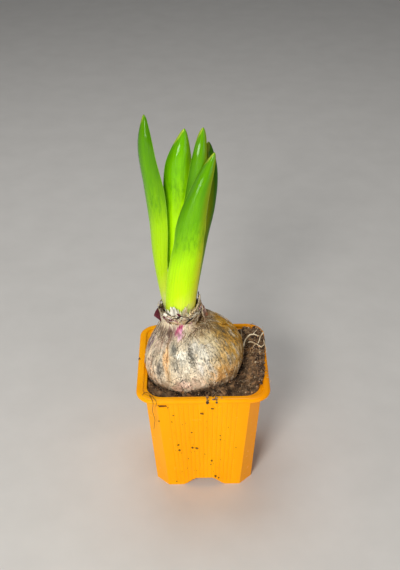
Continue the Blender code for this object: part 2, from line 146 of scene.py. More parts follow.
TIP_STARTS = 0.86
HOOD = 2.2

# How many small things are drawn
SMALL_FLAKES = 190
SHARDS, CURLS, SHOULDER_FIBRES = 84, 330, 170
SOIL_CRUMBS, HEAP_CRUMBS, STUCK_CRUMBS = 5200, 1300, 420
RIM_CRUMBS, CLUMP_CRUMBS, SIDE_CRUMBS = 34, 20, 6
SOIL_FIBRES, HEAP_FIBRES = 250, 80
SMEAR_CRUMBS, FINE_SPECKS = 60, 46

# Camera
CAMERA_AT = (-0.002805, -0.506726, 0.458361)
CAMERA_LOOK = (0.00279, 0.84595, -0.53325)
CAMERA_ROLL = -0.0129
CAMERA_LENS = 60.36


# ---- arrays ---------------------------------------------------------------------------

def spline(stations, u):
    """A smooth curve through even stations, read at u from 0 to 1 (Catmull-Rom)."""
    values = np.asarray(stations, float)
    last = len(values) - 1
    first_guard, last_guard = 2 * values[0] - values[1], 2 * values[-1] - values[-2]
    values = np.concatenate([[first_guard], values, [last_guard]])
    x = np.clip(np.asarray(u, float), 0.0, 1.0) * last
    i = np.clip(np.floor(x).astype(int), 0, last - 1)
    f = (x - i).reshape(x.shape + (1,) * (values.ndim - 1))
    a, b, c, d = values[i], values[i + 1], values[i + 2], values[i + 3]
    return 0.5 * (2 * b + (c - a) * f + (2 * a - 5 * b + 4 * c - d) * f ** 2
                  + (3 * b - a - 3 * c + d) * f ** 3)


def step(x, low, high):
    """0 below low, 1 above high and smooth between."""
    t = np.clip((np.asarray(x, float) - low) / (high - low), 0.0, 1.0)
    return t * t * (3.0 - 2.0 * t)


def noise(points, size, seed, octaves=1):
    """Smooth noise between -1 and 1 over points in millimetres.

    A seeded lattice of random values with cells of one size is read with smooth steps
    between its eight corners; each further octave is twice as fine and half as strong.
    """
    points = np.asarray(points, float)
    total, strength, sum_of_strengths = 0.0, 1.0, 0.0
    for octave in range(octaves):
        lattice = np.random.default_rng(seed + octave).uniform(-1, 1, (32, 32, 32))
        place = points / size * 2 ** octave
        cell = np.floor(place).astype(int)
        near = place - cell
        near = near * near * (3.0 - 2.0 * near)
        value = 0.0
        for corner in np.ndindex(2, 2, 2):
            at = (cell + corner) % 32
            share = np.prod(np.where(corner, near, 1.0 - near), axis=-1)
            value = value + share * lattice[at[..., 0], at[..., 1], at[..., 2]]
        total = total + strength * value
        sum_of_strengths += strength
        strength *= 0.5
    return total / sum_of_strengths * 1.6


def curve(c):
    """Usual colour values of 0 to 1, made linear."""
    return np.where(c <= 0.04045, c / 12.92, ((c + 0.055) / 1.055) ** 2.4)


def colour(red, green, blue):
    """One linear colour, given by its usual 0 to 255 values."""
    return (*map(float, curve(np.array([red, green, blue]) / 255.0)), 1.0)


def linear(shades):
    """Colours of 0 to 255 values as linear colours with a fourth column of ones."""
    c = curve(np.clip(shades / 255.0, 0, 1))
    return np.concatenate([c, np.ones(c.shape[:-1] + (1,))], axis=-1)


def blend(first, second, share):
    """The first value passing into the second as the share goes from 0 to 1."""
    return first + (np.asarray(second, float) - first) * share


def unit(vectors):
    """The same directions, each one long."""
    return vectors / np.maximum(np.linalg.norm(vectors, axis=-1), 1e-9)[..., None]


def skin(rings):
    """Faces over rings of points that close round, with a fan at each end.

    The rings run anticlockwise about the way they climb, so the faces look outwards.
    """
    rings = np.asarray(rings, float)
    count, around = rings.shape[:2]
    i, j = np.meshgrid(np.arange(count - 1), np.arange(around), indexing="ij")
    a, b = i * around + j, i * around + (j + 1) % around
    faces = np.stack([a, b, b + around, a + around], axis=-1).reshape(-1, 4).tolist()
    points = rings.reshape(-1, 3)
    points = np.concatenate([points, [rings[0].mean(axis=0)], [rings[-1].mean(axis=0)]])
    j = np.arange(around)
    k = (j + 1) % around
    foot, top, last = count * around, count * around + 1, (count - 1) * around
    faces += np.stack([np.full(around, foot), k, j], axis=1).tolist()
    faces += np.stack([np.full(around, top), last + j, last + k], axis=1).tolist()
    return points, faces


def with_poles(values):
    """Values on the points of skin(): its grid's, then the mean of each end ring."""
    flat = values.reshape(-1, values.shape[-1])
    return np.concatenate([flat, [values[0].mean(axis=0)], [values[-1].mean(axis=0)]])


def piece(name, points, faces, finish, **attributes):
    """One object from points in millimetres, with its attributes on the points.

    Attributes with three columns are vectors and with four are colours.
    """
    mesh = bpy.data.meshes.new(name)
    mesh.from_pydata((np.asarray(points) * MM).tolist(), [], faces)
    for key, values in attributes.items():
        kind, field = (("FLOAT_COLOR", "color") if values.shape[1] == 4
                       else ("FLOAT_VECTOR", "vector"))
        layer = mesh.attributes.new(key, kind, "POINT")
        layer.data.foreach_set(field, values.astype(np.float32).ravel())
    mesh.materials.append(finish)
    mesh.shade_smooth()
    made = bpy.data.objects.new(name, mesh)
    bpy.context.scene.collection.objects.link(made)
    return made


def cutter(name, points, faces):
    """A plain closed solid that only cuts or joins."""
    mesh = bpy.data.meshes.new(name)
    mesh.from_pydata((np.asarray(points) * MM).tolist(), [], faces)
    made = bpy.data.objects.new(name, mesh)
    bpy.context.scene.collection.objects.link(made)
    return made


def boolean(target, other, operation):
    """Joins or cuts a solid with another, which is then gone."""
    change = target.modifiers.new(other.name, "BOOLEAN")
    change.operation = operation
    change.solver = "EXACT"
    change.object = other
    graph = bpy.context.evaluated_depsgraph_get()
    result = bpy.data.meshes.new_from_object(target.evaluated_get(graph))
    target.modifiers.clear()
    target.data = result
    bpy.data.objects.remove(other, do_unlink=True)


# ---- materials ------------------------------------------------------------------------

class Finish:
    """A material under way: its nodes are added by short calls and joined by name."""

    def __init__(self, name, roughness, **shader):
        self.material = bpy.data.materials.new(name)
        self.material.use_nodes = True
        self.tree = self.material.node_tree
        self.shader = self.tree.nodes["Principled BSDF"]
        self.shader.inputs["Roughness"].default_value = roughness
        for socket, value in shader.items():
            self.shader.inputs[socket.replace("_", " ")].default_value = value
        self.place = self.node("ShaderNodeTexCoord").outputs["Object"]

    def node(self, kind, values=None, **settings):
        """A node with its settings, and its inputs set to values or linked to outputs."""
        made = self.tree.nodes.new(kind)
        for key, value in settings.items():
            setattr(made, key, value)
        for socket, value in (values or {}).items():
            if isinstance(value, bpy.types.NodeSocket):
                self.tree.links.new(value, made.inputs[socket])
            else:
                made.inputs[socket].default_value = value
        return made

    def attribute(self, name, output="Vector"):
        """Values that the mesh carries at its points."""
        return self.node("ShaderNodeAttribute", attribute_name=name).outputs[output]

    def stretch(self, vector, scale):
        """Places scaled by an amount along each axis."""
        return self.node("ShaderNodeMapping", {"Vector": vector, "Scale": scale}).outputs[0]

    def noise(self, vector, scale, detail=2.0, roughness=0.55, distortion=0.0):
        """Soft noise of 0 to 1."""
        return self.node("ShaderNodeTexNoise", {
            "Vector": vector, "Scale": scale, "Detail": detail, "Roughness": roughness,
            "Distortion": distortion}).outputs["Fac"]

    def cells(self, vector, scale, feature="F1"):
        """How far each place is from the nearest cell's middle or edge."""
        return self.node("ShaderNodeTexVoronoi", {"Vector": vector, "Scale": scale},
                         feature=feature).outputs["Distance"]

    def ramp(self, value, *stops):
        """A ramp of (place, colour) or (place, grey) stops."""
        made = self.node("ShaderNodeValToRGB", {"Fac": value})
        marks = made.color_ramp.elements
        while len(marks) < len(stops):
            marks.new(0.5)
        for mark, (at, shade) in zip(marks, stops):
            mark.position = at
            mark.color = shade if isinstance(shade, tuple) else (shade, shade, shade, 1.0)
        return made.outputs["Color"]

    def mix(self, share, first, second, way="MIX"):
        """The first colour passing into the second as the share goes from 0 to 1."""
        return self.node("ShaderNodeMix", {0: share, 6: first, 7: second}, data_type="RGBA",
                         blend_type=way).outputs[2]

    def shaded(self, first, second):
        """One colour multiplied by another colour or grey."""
        return self.mix(1.0, first, second, "MULTIPLY")

    def maths(self, operation, first, second=0.0, clamp=False):
        """One step of arithmetic on two values."""
        return self.node("ShaderNodeMath", {0: first, 1: second}, operation=operation,
                         use_clamp=clamp).outputs[0]

    def times(self, first, second, clamp=False):
        """The product of two values."""
        return self.maths("MULTIPLY", first, second, clamp)

    def parts(self, vector):
        """The X, Y and Z of a vector."""
        return self.node("ShaderNodeSeparateXYZ", {"Vector": vector}).outputs

    def bump(self, height, strength, distance_mm, under=None):
        """Relief of a height map, over another relief where one is given."""
        values = {"Height": height, "Strength": strength, "Distance": distance_mm * MM}
        if under:
            values["Normal"] = under
        return self.node("ShaderNodeBump", values).outputs[0]

    def put(self, **sockets):
        """Links outputs to the shader's sockets and gives the material."""
        for name, output in sockets.items():
            self.tree.links.new(output, self.shader.inputs[name.replace("_", " ")])
        return self.material


def amber_plastic():
    """Glossy amber polypropylene: faint flow marks, dust, fine scuffs, and painted shade that
    deepens the orange towards the right side.
    """
    f = Finish("amber_plastic", 0.3, Specular_IOR_Level=0.15)
    flow = f.noise(f.stretch(f.place, (60.0, 60.0, 14.0)), 1.0, 3.0)
    ground = f.mix(f.ramp(flow, (0.35, 0.0), (0.65, 1.0)), colour(254, 165, 0),
                   colour(255, 174, 0))
    dust = f.ramp(f.noise(f.place, 420.0, 6.0, 0.75), (0.66, 0.0), (0.74, 1.0))
    patches = f.ramp(f.noise(f.place, 45.0, 3.0), (0.45, 0.0), (0.7, 1.0))
    soiled = f.times(dust, patches)
    # Painted shade: the right side, turned away from the light, is coloured a deeper orange.
    right = f.parts(f.place)["X"]
    ground = f.mix(f.ramp(right, (0.018, 0.0), (0.034, 1.0)), ground, colour(255, 158, 0))
    painted = f.mix(f.times(soiled, 0.45), ground, colour(128, 74, 18))
    rough = f.ramp(f.noise(f.place, 160.0, 4.0), (0.3, 0.18), (0.7, 0.28))
    scuffs = f.noise(f.stretch(f.place, (900.0, 900.0, 120.0)), 1.0, 2.0)
    orange_peel = f.bump(f.noise(f.place, 700.0, 2.0), 0.12, 0.12)
    return f.put(Base_Color=painted, Roughness=rough,
                 Normal=f.bump(scuffs, 0.08, 0.08, orange_peel))


def compost():
    """Damp dark compost, each crumb with its own shade."""
    f = Finish("compost", 0.9, Specular_IOR_Level=0.25)
    tint = f.attribute("tint", "Color")
    grain = f.noise(f.place, 900.0, 5.0, 0.7)
    shade = f.shaded(tint, f.ramp(grain, (0.3, 0.55), (0.7, 1.35)))
    flecks = f.ramp(f.cells(f.place, 1500.0), (0.10, 1.0), (0.17, 0.0))
    rare = f.ramp(f.noise(f.place, 500.0, 2.0), (0.58, 0.0), (0.66, 1.0))
    share = f.times(f.times(flecks, rare), 0.6)
    painted = f.mix(share, shade, colour(176, 140, 104))
    return f.put(Base_Color=painted, Normal=f.bump(grain, 0.7, 0.6))


def papery_tunic():
    """The bulb's dry skin: painted ground, flaky layers, dark mould and fine ribs up it."""
    f = Finish("papery_tunic", 0.66, Specular_IOR_Level=0.25)
    tint = f.attribute("tint", "Color")
    marks = f.parts(f.attribute("marks"))
    place = f.attribute("meridian")
    ribs = f.noise(f.stretch(place, (1.5, 1.5, 0.09)), 1.0, 3.0, 0.6)
    fine = f.noise(f.stretch(place, (3.2, 3.2, 1.1)), 1.0, 5.0, 0.7)
    mottle = f.noise(f.stretch(place, (0.5, 0.5, 0.36)), 1.0, 8.0, 0.7, 0.5)
    flakes = f.node("ShaderNodeTexVoronoi", {
        "Vector": f.mix(0.35, f.stretch(place, (0.34, 0.34, 0.24)),
                        f.node("ShaderNodeTexNoise", {"Vector": place, "Scale": 0.5,
                                                      "Detail": 3.0}).outputs["Color"],
                        "ADD"), "Scale": 1.0})
    layer = f.node("ShaderNodeSeparateColor", {"Color": flakes.outputs["Color"]}).outputs[0]
    ground = f.shaded(tint, f.ramp(layer, (0.0, 0.80), (1.0, 1.12)))
    ground = f.shaded(ground, f.ramp(ribs, (0.25, 0.74), (0.75, 1.18)))
    ground = f.shaded(ground, f.ramp(mottle, (0.30, 0.50), (0.48, 0.98), (0.70, 1.25)))
    ground = f.shaded(ground, f.ramp(fine, (0.25, 0.66), (0.5, 1.0), (0.75, 1.22)))
    mould = f.noise(f.stretch(place, (0.95, 0.95, 0.6)), 1.0, 7.0, 0.74, 0.5)
    edge = f.maths("SUBTRACT", 0.655, f.times(marks["X"], 0.19))
    speck = f.times(f.maths("SUBTRACT", mould, edge), 11.0, clamp=True)
    depth = f.noise(f.stretch(place, (0.22, 0.22, 0.2)), 1.0, 2.0)
    ink = f.mix(f.ramp(depth, (0.4, 0.0), (0.6, 1.0)), colour(98, 92, 78), colour(62, 50, 36))
    ground = f.mix(f.times(speck, 0.82), ground, ink)
    fibre = f.noise(f.stretch(place, (2.6, 2.6, 0.05)), 1.0, 2.0, 0.5, 0.3)
    lines = f.ramp(fibre, (0.53, 0.0), (0.58, 1.0), (0.63, 0.0))
    share = f.times(lines, marks["Y"])
    ground = f.mix(share, ground, colour(216, 160, 60))
    cracks = f.ramp(f.cells(f.stretch(place, (0.42, 0.42, 0.30)), 1.0, "DISTANCE_TO_EDGE"),
                    (0.03, 1.0), (0.09, 0.0))
    broken = f.ramp(f.noise(place, 0.6, 3.0), (0.46, 0.0), (0.56, 1.0))
    share = f.times(f.times(cracks, broken), marks["Z"])
    ground = f.mix(share, ground, colour(52, 40, 30))
    low = f.bump(ribs, 0.6, 0.5, f.bump(layer, 0.5, 0.35))
    return f.put(Base_Color=ground, Normal=f.bump(f.maths("ADD", fine, speck), 0.4, 0.3, low))


def dry_scale():
    """Thin torn scale ends and fibres, each with its own shade and fine long veins."""
    f = Finish("dry_scale", 0.55, Specular_IOR_Level=0.35)
    tint = f.attribute("tint", "Color")
    veins = f.noise(f.stretch(f.place, (1800.0, 1800.0, 160.0)), 1.0, 3.0)
    shade = f.shaded(tint, f.ramp(veins, (0.3, 0.7), (0.7, 1.2)))
    return f.put(Base_Color=shade, Normal=f.bump(veins, 0.4, 0.2))


def leaf_green(name, leaf):
    """A blade: lime at the foot, deeper green above, darker sides, pale rim, fine veins.

    Painted shade dulls one margin towards olive, and each blade's overall brightness is
    painted light and shade.
    """
    f = Finish(name, 0.3, Specular_IOR_Level=leaf.get("gloss", 0.2))
    share = f.parts(f.attribute("share"))
    blade = f.attribute("blade")
    drift = f.noise(f.stretch(blade, (0.30, 0.05, 1.0)), 1.0, 3.0)
    along = f.maths("ADD", share["Y"], f.times(f.maths("SUBTRACT", drift, 0.5), 0.10))
    along = f.maths("SUBTRACT", along, f.times(share["X"], 0.06))
    ends, dark, lit = leaf["green"], leaf["dark"], leaf["lit"]

    def lime(*values):
        """A colour, made lighter or darker by this blade's painted light and shade."""
        return (*(np.array(colour(*values)[:3]) * lit), 1.0)

    def shade(*values):
        """The same for the upper greens, moved away from lime where dark is over 1."""
        return lime(*blend(np.array([178, 240, 2]), values, dark))

    ground = f.ramp(along, (0.08, lime(238, 246, 150)), (0.15, lime(226, 252, 64)),
                    (0.24, lime(204, 250, 2)), (ends - 0.10, lime(184, 244, 1)),
                    (ends + 0.01, shade(148, 214, 1)), (ends + 0.12, shade(126, 196, 2)),
                    (ends + 0.30, shade(110, 178, 3)), (0.985, shade(112, 178, 4)),
                    (1.0, lime(176, 200, 60)))
    streaks = f.noise(f.stretch(blade, (2.4, 0.035, 1.0)), 1.0, 2.0, 0.5)
    ground = f.shaded(ground, f.ramp(streaks, (0.3, 0.86), (0.7, 1.07)))
    across = f.maths("ABSOLUTE", share["X"])
    upper = f.ramp(share["Y"], (ends - 0.05, 0.25), (ends + 0.18, 1.0))
    sides = f.times(f.ramp(across, (0.15, 0.0), (0.90, 1.0)), upper)
    ground = f.mix(f.times(sides, 0.75), ground, f.shaded(ground, colour(178, 188, 150)))
    # Painted shade with warm reflected light: one margin is dulled towards olive greens.
    turned = f.times(share["X"], math.copysign(1.0, leaf["olive"]))
    olive = f.ramp(share["Y"], (0.15, colour(240, 225, 30)), (ends - 0.10, colour(192, 184, 8)),
                   (ends + 0.10, colour(150, 166, 4)), (1.0, colour(134, 146, 4)))
    olive = f.shaded(olive, f.ramp(streaks, (0.3, 0.86), (0.7, 1.07)))
    painted_margin_shade = f.times(f.ramp(turned, (0.45, 0.0), (0.95, 0.85)), abs(leaf["olive"]))
    ground = f.mix(painted_margin_shade, ground, olive)
    blotches = f.noise(f.stretch(blade, (0.5, 0.12, 1.0)), 1.0, 4.0, 0.65)
    turning = f.ramp(share["Y"], (ends - 0.08, 0.0), (ends + 0.02, 1.0), (ends + 0.16, 0.3),
                     (1.0, 0.2))
    blotched = f.times(f.ramp(blotches, (0.46, 0.0), (0.66, 1.0)), turning)
    ground = f.mix(f.times(blotched, 0.65), ground, colour(66, 130, 2))
    margin = f.ramp(across, (0.955, 0.0), (0.985, 1.0))
    ground = f.mix(f.times(margin, 0.35), ground, lime(190, 226, 80))
    wax = f.ramp(f.noise(f.stretch(blade, (0.8, 0.2, 1.0)), 1.0, 3.0), (0.3, 0.24), (0.7, 0.36))
    rough = f.times(wax, f.ramp(share["Y"], (0.6, 1.0), (0.86, 0.36)))
    veins = f.noise(f.stretch(blade, (3.4, 0.03, 1.0)), 1.0, 2.0, 0.5)
    pores = f.noise(f.place, 2200.0, 2.0)
    return f.put(Base_Color=ground, Roughness=rough,
                 Normal=f.bump(pores, 0.08, 0.04, f.bump(veins, 0.30, 0.12)))


def pale_root():
    """Waxy white roots, browner in places."""
    f = Finish("pale_root", 0.42, Specular_IOR_Level=0.5)
    stain = f.ramp(f.noise(f.place, 260.0, 4.0, 0.6), (0.45, 0.0), (0.72, 1.0))
    painted = f.mix(stain, colour(240, 222, 186), colour(186, 146, 96))
    return f.put(Base_Color=painted, Normal=f.bump(f.noise(f.place, 1200.0, 3.0), 0.3, 0.2))


def studio_floor():
    """Matt pale paper, very faintly mottled."""
    f = Finish("studio_floor", 0.8, Specular_IOR_Level=0.2)
    paper = f.noise(f.place, 30.0, 4.0)
    return f.put(Base_Color=f.ramp(paper, (0.3, colour(208, 205, 200)),
                                   (0.7, colour(213, 210, 205))))


# ---- pot ------------------------------------------------------------------------------

def section(half, corner, rounding, z, along, turns=6):
    """A square ring with cut corners, anticlockwise from above.

    along holds the points of a side as fractions of its straight run, from -1 to 1.
    rounding 0 cuts the corners straight and 1 makes them arcs.
    """
    run = half - corner
    side = np.stack([np.asarray(along) * run, np.full(len(along), -half)], axis=1)
    t = np.linspace(0.0, 1.0, turns + 1)[1:-1]
    arc = np.stack([run + corner * np.sin(t * np.pi / 2),
                    -run - corner * np.cos(t * np.pi / 2)], axis=1)
    cut = np.stack([run + corner * t, -half + corner * t], axis=1)
    quarter = np.concatenate([side, cut + (arc - cut) * rounding])
    ring = []
    for turn in range(4):
        c, s = math.cos(turn * math.pi / 2), math.sin(turn * math.pi / 2)
        ring.append(quarter @ np.array([[c, s], [-s, c]]))
    ring = np.concatenate(ring)
    return np.column_stack([ring, np.full(len(ring), z)])


def wall_half(z):
    """Half width of the outside of the wall."""
    return FOOT_HALF + (WALL_TOP_HALF - FOOT_HALF) * z / POT_HEIGHT


def wall_chamfer(z):
    """How far the wall's corners are cut."""
    return FOOT_CHAMFER + (WALL_TOP_CHAMFER - FOOT_CHAMFER) * z / POT_HEIGHT


def cavity_section(z, inset, along, turns=6):
    """The pot's inside at a height, inset by a gap: chamfered below, round near the rim."""
    flare = step(z, FLARES_FROM, POT_HEIGHT - RIM_ROLL)
    rounding = step(z, ROUNDS_FROM, ROUNDS_TO)
    half = wall_half(z) - WALL
    rim_half = POT_WIDTH / 2 - RIM_WIDTH
    corner = wall_chamfer(z) - WALL * math.tan(math.pi / 8)
    corner = corner + (ROUND_INSIDE - corner) * rounding
    half = half + (rim_half - half) * flare
    corner = corner + (RIM_CORNER - RIM_WIDTH - corner) * flare
    return section(half - inset, corner, float(rounding), z, along, turns)


def arch(name, grow, turned):
    """A prism with sloping sides, under the floor from face to face."""
    foot, top, high = ARCH_FOOT_HALF + grow, ARCH_TOP_HALF + 0.6 * grow, ARCH_HEIGHT + grow
    across = np.linspace(1.0, 0.0, 17)
    rise = 0.45 * (1.0 - across) + 0.55 * step(1.0 - across, 0.0, 1.0)
    right = [(top + (foot - top) * a, high * r) for a, r in zip(across, rise)]
    outline = [(-foot - 1.0, -1.0), (foot + 1.0, -1.0)] + right
    outline += [(-x, z) for x, z in reversed(right)]
    points = [(x, y, z) for y in (-POT_WIDTH, POT_WIDTH) for x, z in outline]
    if turned:
        points = [(-y, x, z) for x, y, z in points]
    count = len(outline)
    faces = [tuple(range(count)), tuple(reversed(range(count, 2 * count)))]
    faces += [((i + 1) % count, i, i + count, (i + 1) % count + count) for i in range(count)]
    return cutter(name, points, faces)


def drain(x, y, sides=32):
    """A round rod that cuts a drain hole."""
    turn = np.arange(sides) * 2 * np.pi / sides
    ring = np.stack([x + DRAIN_RADIUS * np.cos(turn), y + DRAIN_RADIUS * np.sin(turn)], axis=1)
    rings = [np.column_stack([ring, np.full(sides, z)])
             for z in (ARCH_HEIGHT - 1.0, ARCH_HEIGHT + 3.0)]
    return cutter("drain", *skin(rings))


def make_pot():
    """The moulded pot.

    The wall is a square ring with cut corners that widens evenly with height; each side
    has even grooves, each a cosine hollow.  The rim is a rounded bar round the top.  The
    cavity, the crossed arches under the floor and the drain holes are cut out.
    """
    panel = FLUTE_PITCH * FLUTES / 2 / (WALL_TOP_HALF - WALL_TOP_CHAMFER)
    flute = np.linspace(-panel, panel, FLUTES * FLUTE_POINTS + 1)
    along = np.concatenate([[-1.0, -1.0 + (1.0 - panel) / 2], flute,
                            [1.0 - (1.0 - panel) / 2, 1.0]])
    phase = np.clip((along + panel) / (2 * panel), 0.0, 1.0) * FLUTES
    groove = FLUTE_DEPTH * (0.5 - 0.5 * np.cos(2 * np.pi * phase)) ** 5
    side = len(along)

    def wall_ring(z, depth):
        """A level ring of the outer wall with its grooves cut in by depth."""
        ring = section(wall_half(z), wall_chamfer(z), 0.0, z, along, 4)
        inwards = np.array([[0, 1], [-1, 0], [0, -1], [1, 0]], float)
        each = len(ring) // 4
        for turn in range(4):
            span = slice(turn * each, turn * each + side)
            ring[span, :2] += inwards[turn] * (groove * depth)[:, None]
        return ring

    def rim_ring(half, z):
        """A level ring of the rim, a square with round corners."""
        shrink = POT_WIDTH / 2 - half
        return section(half, RIM_CORNER - shrink, 1.0, z, np.linspace(-1, 1, 9), 25)

    lip = POT_HEIGHT - RIM_DEPTH
    under = POT_HEIGHT - 1.3
    out = POT_WIDTH / 2
    collar = WALL_TOP_HALF + 1.5
    rings = [wall_ring(0.0, 0.0), wall_ring(0.8, 0.5), wall_ring(1.6, 1.0)]
    rings += [wall_ring(z, 1.0) for z in np.linspace(6.0, lip - 2.0, 12)]
    rings += [wall_ring(lip - 1.2, 0.6), wall_ring(lip - 0.5, 0.0), wall_ring(under + 0.4, 0.0)]
    pot = piece("pot_body", *skin(rings), AMBER)

    rings = [rim_ring(collar - 0.6, lip + 0.4), rim_ring(collar, lip + 1.0),
             rim_ring(collar, under), rim_ring(out - 1.2, under), rim_ring(out - 1.1, lip + 0.1)]
    for turn in np.radians((-60, -30, 0)):
        rings.append(rim_ring(out - 0.6 + 0.6 * math.cos(turn),
                              lip + 0.6 + 0.6 * math.sin(turn)))
    for turn in np.radians((0, 12, 24, 36, 48, 60, 70, 80, 90)):
        rings.append(rim_ring(out - RIM_DOME[0] * (1.0 - math.cos(turn)),
                              POT_HEIGHT - RIM_DOME[1] * (1.0 - math.sin(turn))))
    boolean(pot, cutter("rim", *skin(rings)), "UNION")

    inner = out - RIM_WIDTH
    plain = np.linspace(-1, 1, 3)
    rings = [cavity_section(z, 0.0, plain, 24) for z in
             (FLOOR, ROUNDS_FROM, POT_HEIGHT - 11.0, POT_HEIGHT - 9.5, ROUNDS_TO,
              FLARES_FROM, POT_HEIGHT - 1.6, POT_HEIGHT - 1.3, POT_HEIGHT - RIM_ROLL)]
    for turn in np.radians((18, 36, 54, 72)):
        grow = RIM_ROLL * (1.0 - math.cos(turn))
        z = POT_HEIGHT - RIM_ROLL + RIM_ROLL * math.sin(turn)
        rings.append(section(inner + grow, RIM_CORNER - RIM_WIDTH + grow, 1.0, z, plain, 24))
    rings.append(section(inner + RIM_ROLL, RIM_CORNER - RIM_WIDTH + RIM_ROLL, 1.0,
                         POT_HEIGHT + 1.0, plain, 24))
    cavity = cutter("cavity", *skin(rings))
    for turned in (False, True):
        boolean(cavity, arch("floor_over_arch", FLOOR, turned), "DIFFERENCE")
    boolean(pot, cavity, "DIFFERENCE")
    for turned in (False, True):
        boolean(pot, arch("arch", 0.0, turned), "DIFFERENCE")
    reach = 0.6 * FOOT_HALF
    for x, y in ((0, 0), (reach, 0), (-reach, 0), (0, reach), (0, -reach)):
        boolean(pot, drain(x, y), "DIFFERENCE")
    pot.data.shade_smooth()
    pot.data.set_sharp_from_angle(angle=math.radians(28))
    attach(pot, "root")
    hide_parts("pot")


# ---- bulb -----------------------------------------------------------------------------

def bulb_frame():
    """The bulb's axis and the two directions across it."""
    axis = unit(np.array([*BULB_LEAN, 1.0]))
    right = unit(np.array([1.0, 0.0, 0.0]) - axis * axis[0])
    return axis, right, np.cross(axis, right)


def turn_from(turn, at):
    """The angle from a bearing in degrees, between minus and plus half a turn."""
    return np.remainder(turn - math.radians(at) + np.pi, 2 * np.pi) - np.pi


def bulb_radius(h, turn=None):
    """Its radius at a height over the widest ring: squat below, drawn in above.

    Below, it is a superellipse whose power grows to the front right, where it is fullest.
    """
    h = np.asarray(h, float)
    power = 2.1 if turn is None else 2.1 + 1.05 * np.exp(-((turn_from(turn, -36)) / 0.5) ** 2)
    below = np.clip(1.0 - (np.clip(-h, 0, None) / BULB_BELOW) ** power, 0, 1) ** (1 / power)
    above = np.clip(1.0 - (np.clip(h, 0, None) / BULB_ABOVE) ** 1.7, 0, 1) ** (1 / 1.7)
    return BULB_RADIUS * np.where(h < 0, below, above)


def bulb_point(h, turn, grow=0.0):
    """Points of the bulb's skin, swollen by grow, kept off the wall that it leans on."""
    axis, right, back = bulb_frame()
    h, turn = np.broadcast_arrays(np.asarray(h, float), np.asarray(turn, float))
    lobes = 1.0 + 0.008 * np.sin(3 * turn + 0.6) + 0.005 * np.sin(5 * turn + 2.0)
    radius = bulb_radius(h, turn) * lobes + grow
    lift = h * (1.0 + grow / BULB_BELOW)
    point = (np.array(BULB_AT) + lift[..., None] * axis
             + (radius * np.cos(turn))[..., None] * right
             + (radius * np.sin(turn))[..., None] * back)
    over_soil = np.clip(point[..., 2] - (POT_HEIGHT - SOIL_BELOW_RIM - 1.4), 0, None)
    room = ROOM_AT_LEFT + 0.53 * over_soil + 0.5 * np.clip(over_soil - 5.8, 0, None) + grow
    left = -point[..., 0]
    over = left - room
    point[..., 0] = -np.where(over > -1.0, room - 1.0 + np.tanh(np.clip(over + 1.0, 0, 9)), left)
    return point


def plate_height():
    """Where the flat basal plate cuts the bulb, under its widest ring."""
    return -BULB_BELOW * math.sqrt(1 - (BULB_PLATE / BULB_RADIUS) ** 2)


# Patches of the bulb's ground colour: where round the bulb and how high over its widest
# ring, how wide and how high, the colour, and how strongly it covers.  One is a painted
# highlight and one a painted shadow.
TUNIC_PATCHES = (
    (-4, 8, 33, 17, (222, 156, 34), 0.95),
    (75, 8, 34, 18, (200, 160, 92), 0.7),
    (150, 10, 34, 18, (204, 182, 146), 0.6),
    (8, 15, 15, 9, (226, 156, 14), 0.9),
    (-24, 16, 9, 9, (122, 98, 56), 0.85),
    (-34, -10, 15, 6, (218, 156, 66), 0.9),
    (-12, -7, 14, 10, (150, 104, 40), 0.9),
    (-34, 9, 10, 10, (250, 194, 92), 0.9),
    (-51, 13, 12, 10, (254, 234, 184), 0.85),
    (-42, -1, 8, 4, (158, 138, 88), 0.8),
    (-54, -5, 17, 7, (216, 152, 70), 0.85),
    (-66, 14, 13, 6, (255, 246, 224), 0.85),
    (-48, 3, 11, 6, (236, 190, 116), 0.8),
    # painted highlight: a white streak where light glints on the skin
    (-78, 5, 3.5, 5, (254, 242, 224), 0.85),
    (-88, -2, 8, 4, (226, 192, 164), 0.7),
    (-104, -4, 10, 4, (244, 208, 184), 0.9),
    # painted shadow: brownish shade low on the front left, just over the soil
    (-135, -5, 24, 5.5, (156, 124, 92), 0.85),
    (-90, -13, 80, 4.5, (136, 108, 80), 0.85),
    (-152, 11, 14, 6, (234, 206, 178), 0.8),
    (-150, 2, 10, 4, (172, 142, 110), 0.8),
    (-119, 12, 4.5, 9, (242, 192, 132), 0.95),
    (-129, 8, 5, 4, (116, 112, 108), 0.85),
    (-141, 15, 7, 5, (160, 142, 120), 0.7),
    (-107, 18.5, 6, 2.6, (124, 126, 120), 0.85),
    (-106, 10, 6, 3.5, (152, 150, 138), 0.6),
    (-95, 10, 8, 4, (242, 234, 212), 0.8),
    (-96, 15.2, 7, 1.6, (255, 248, 228), 0.95),
    (-84, 14, 4, 4, (140, 138, 128), 0.7),
    (-75, 19, 9, 2.5, (204, 196, 182), 0.6),
    (-142, 21, 20, 4, (222, 192, 168), 0.85),
    (-121, 25.5, 14, 3.4, (134, 96, 94), 0.95),
    (-172, 19, 12, 5, (134, 110, 126), 0.85),
    (160, 16, 14, 8, (150, 128, 128), 0.7),
    (-42, 22, 22, 4, (222, 184, 128), 0.85),
    (-8, 25, 28, 5, (142, 110, 66), 0.9),
    (-58, 24.5, 14, 3, (246, 224, 196), 0.9),
    (-150, 26, 36, 3.0, (132, 108, 90), 0.85),
    (90, 26, 90, 4, (120, 96, 72), 0.9),
    (-95, 23.2, 8, 1.6, (250, 206, 228), 0.9),
    (-100, 25.8, 5.5, 2.1, (184, 30, 104), 1.0),
    (-89, 25.2, 4.5, 1.8, (255, 176, 218), 1.0),
    (-92, 28.2, 9, 1.7, (168, 26, 92), 1.0),
)
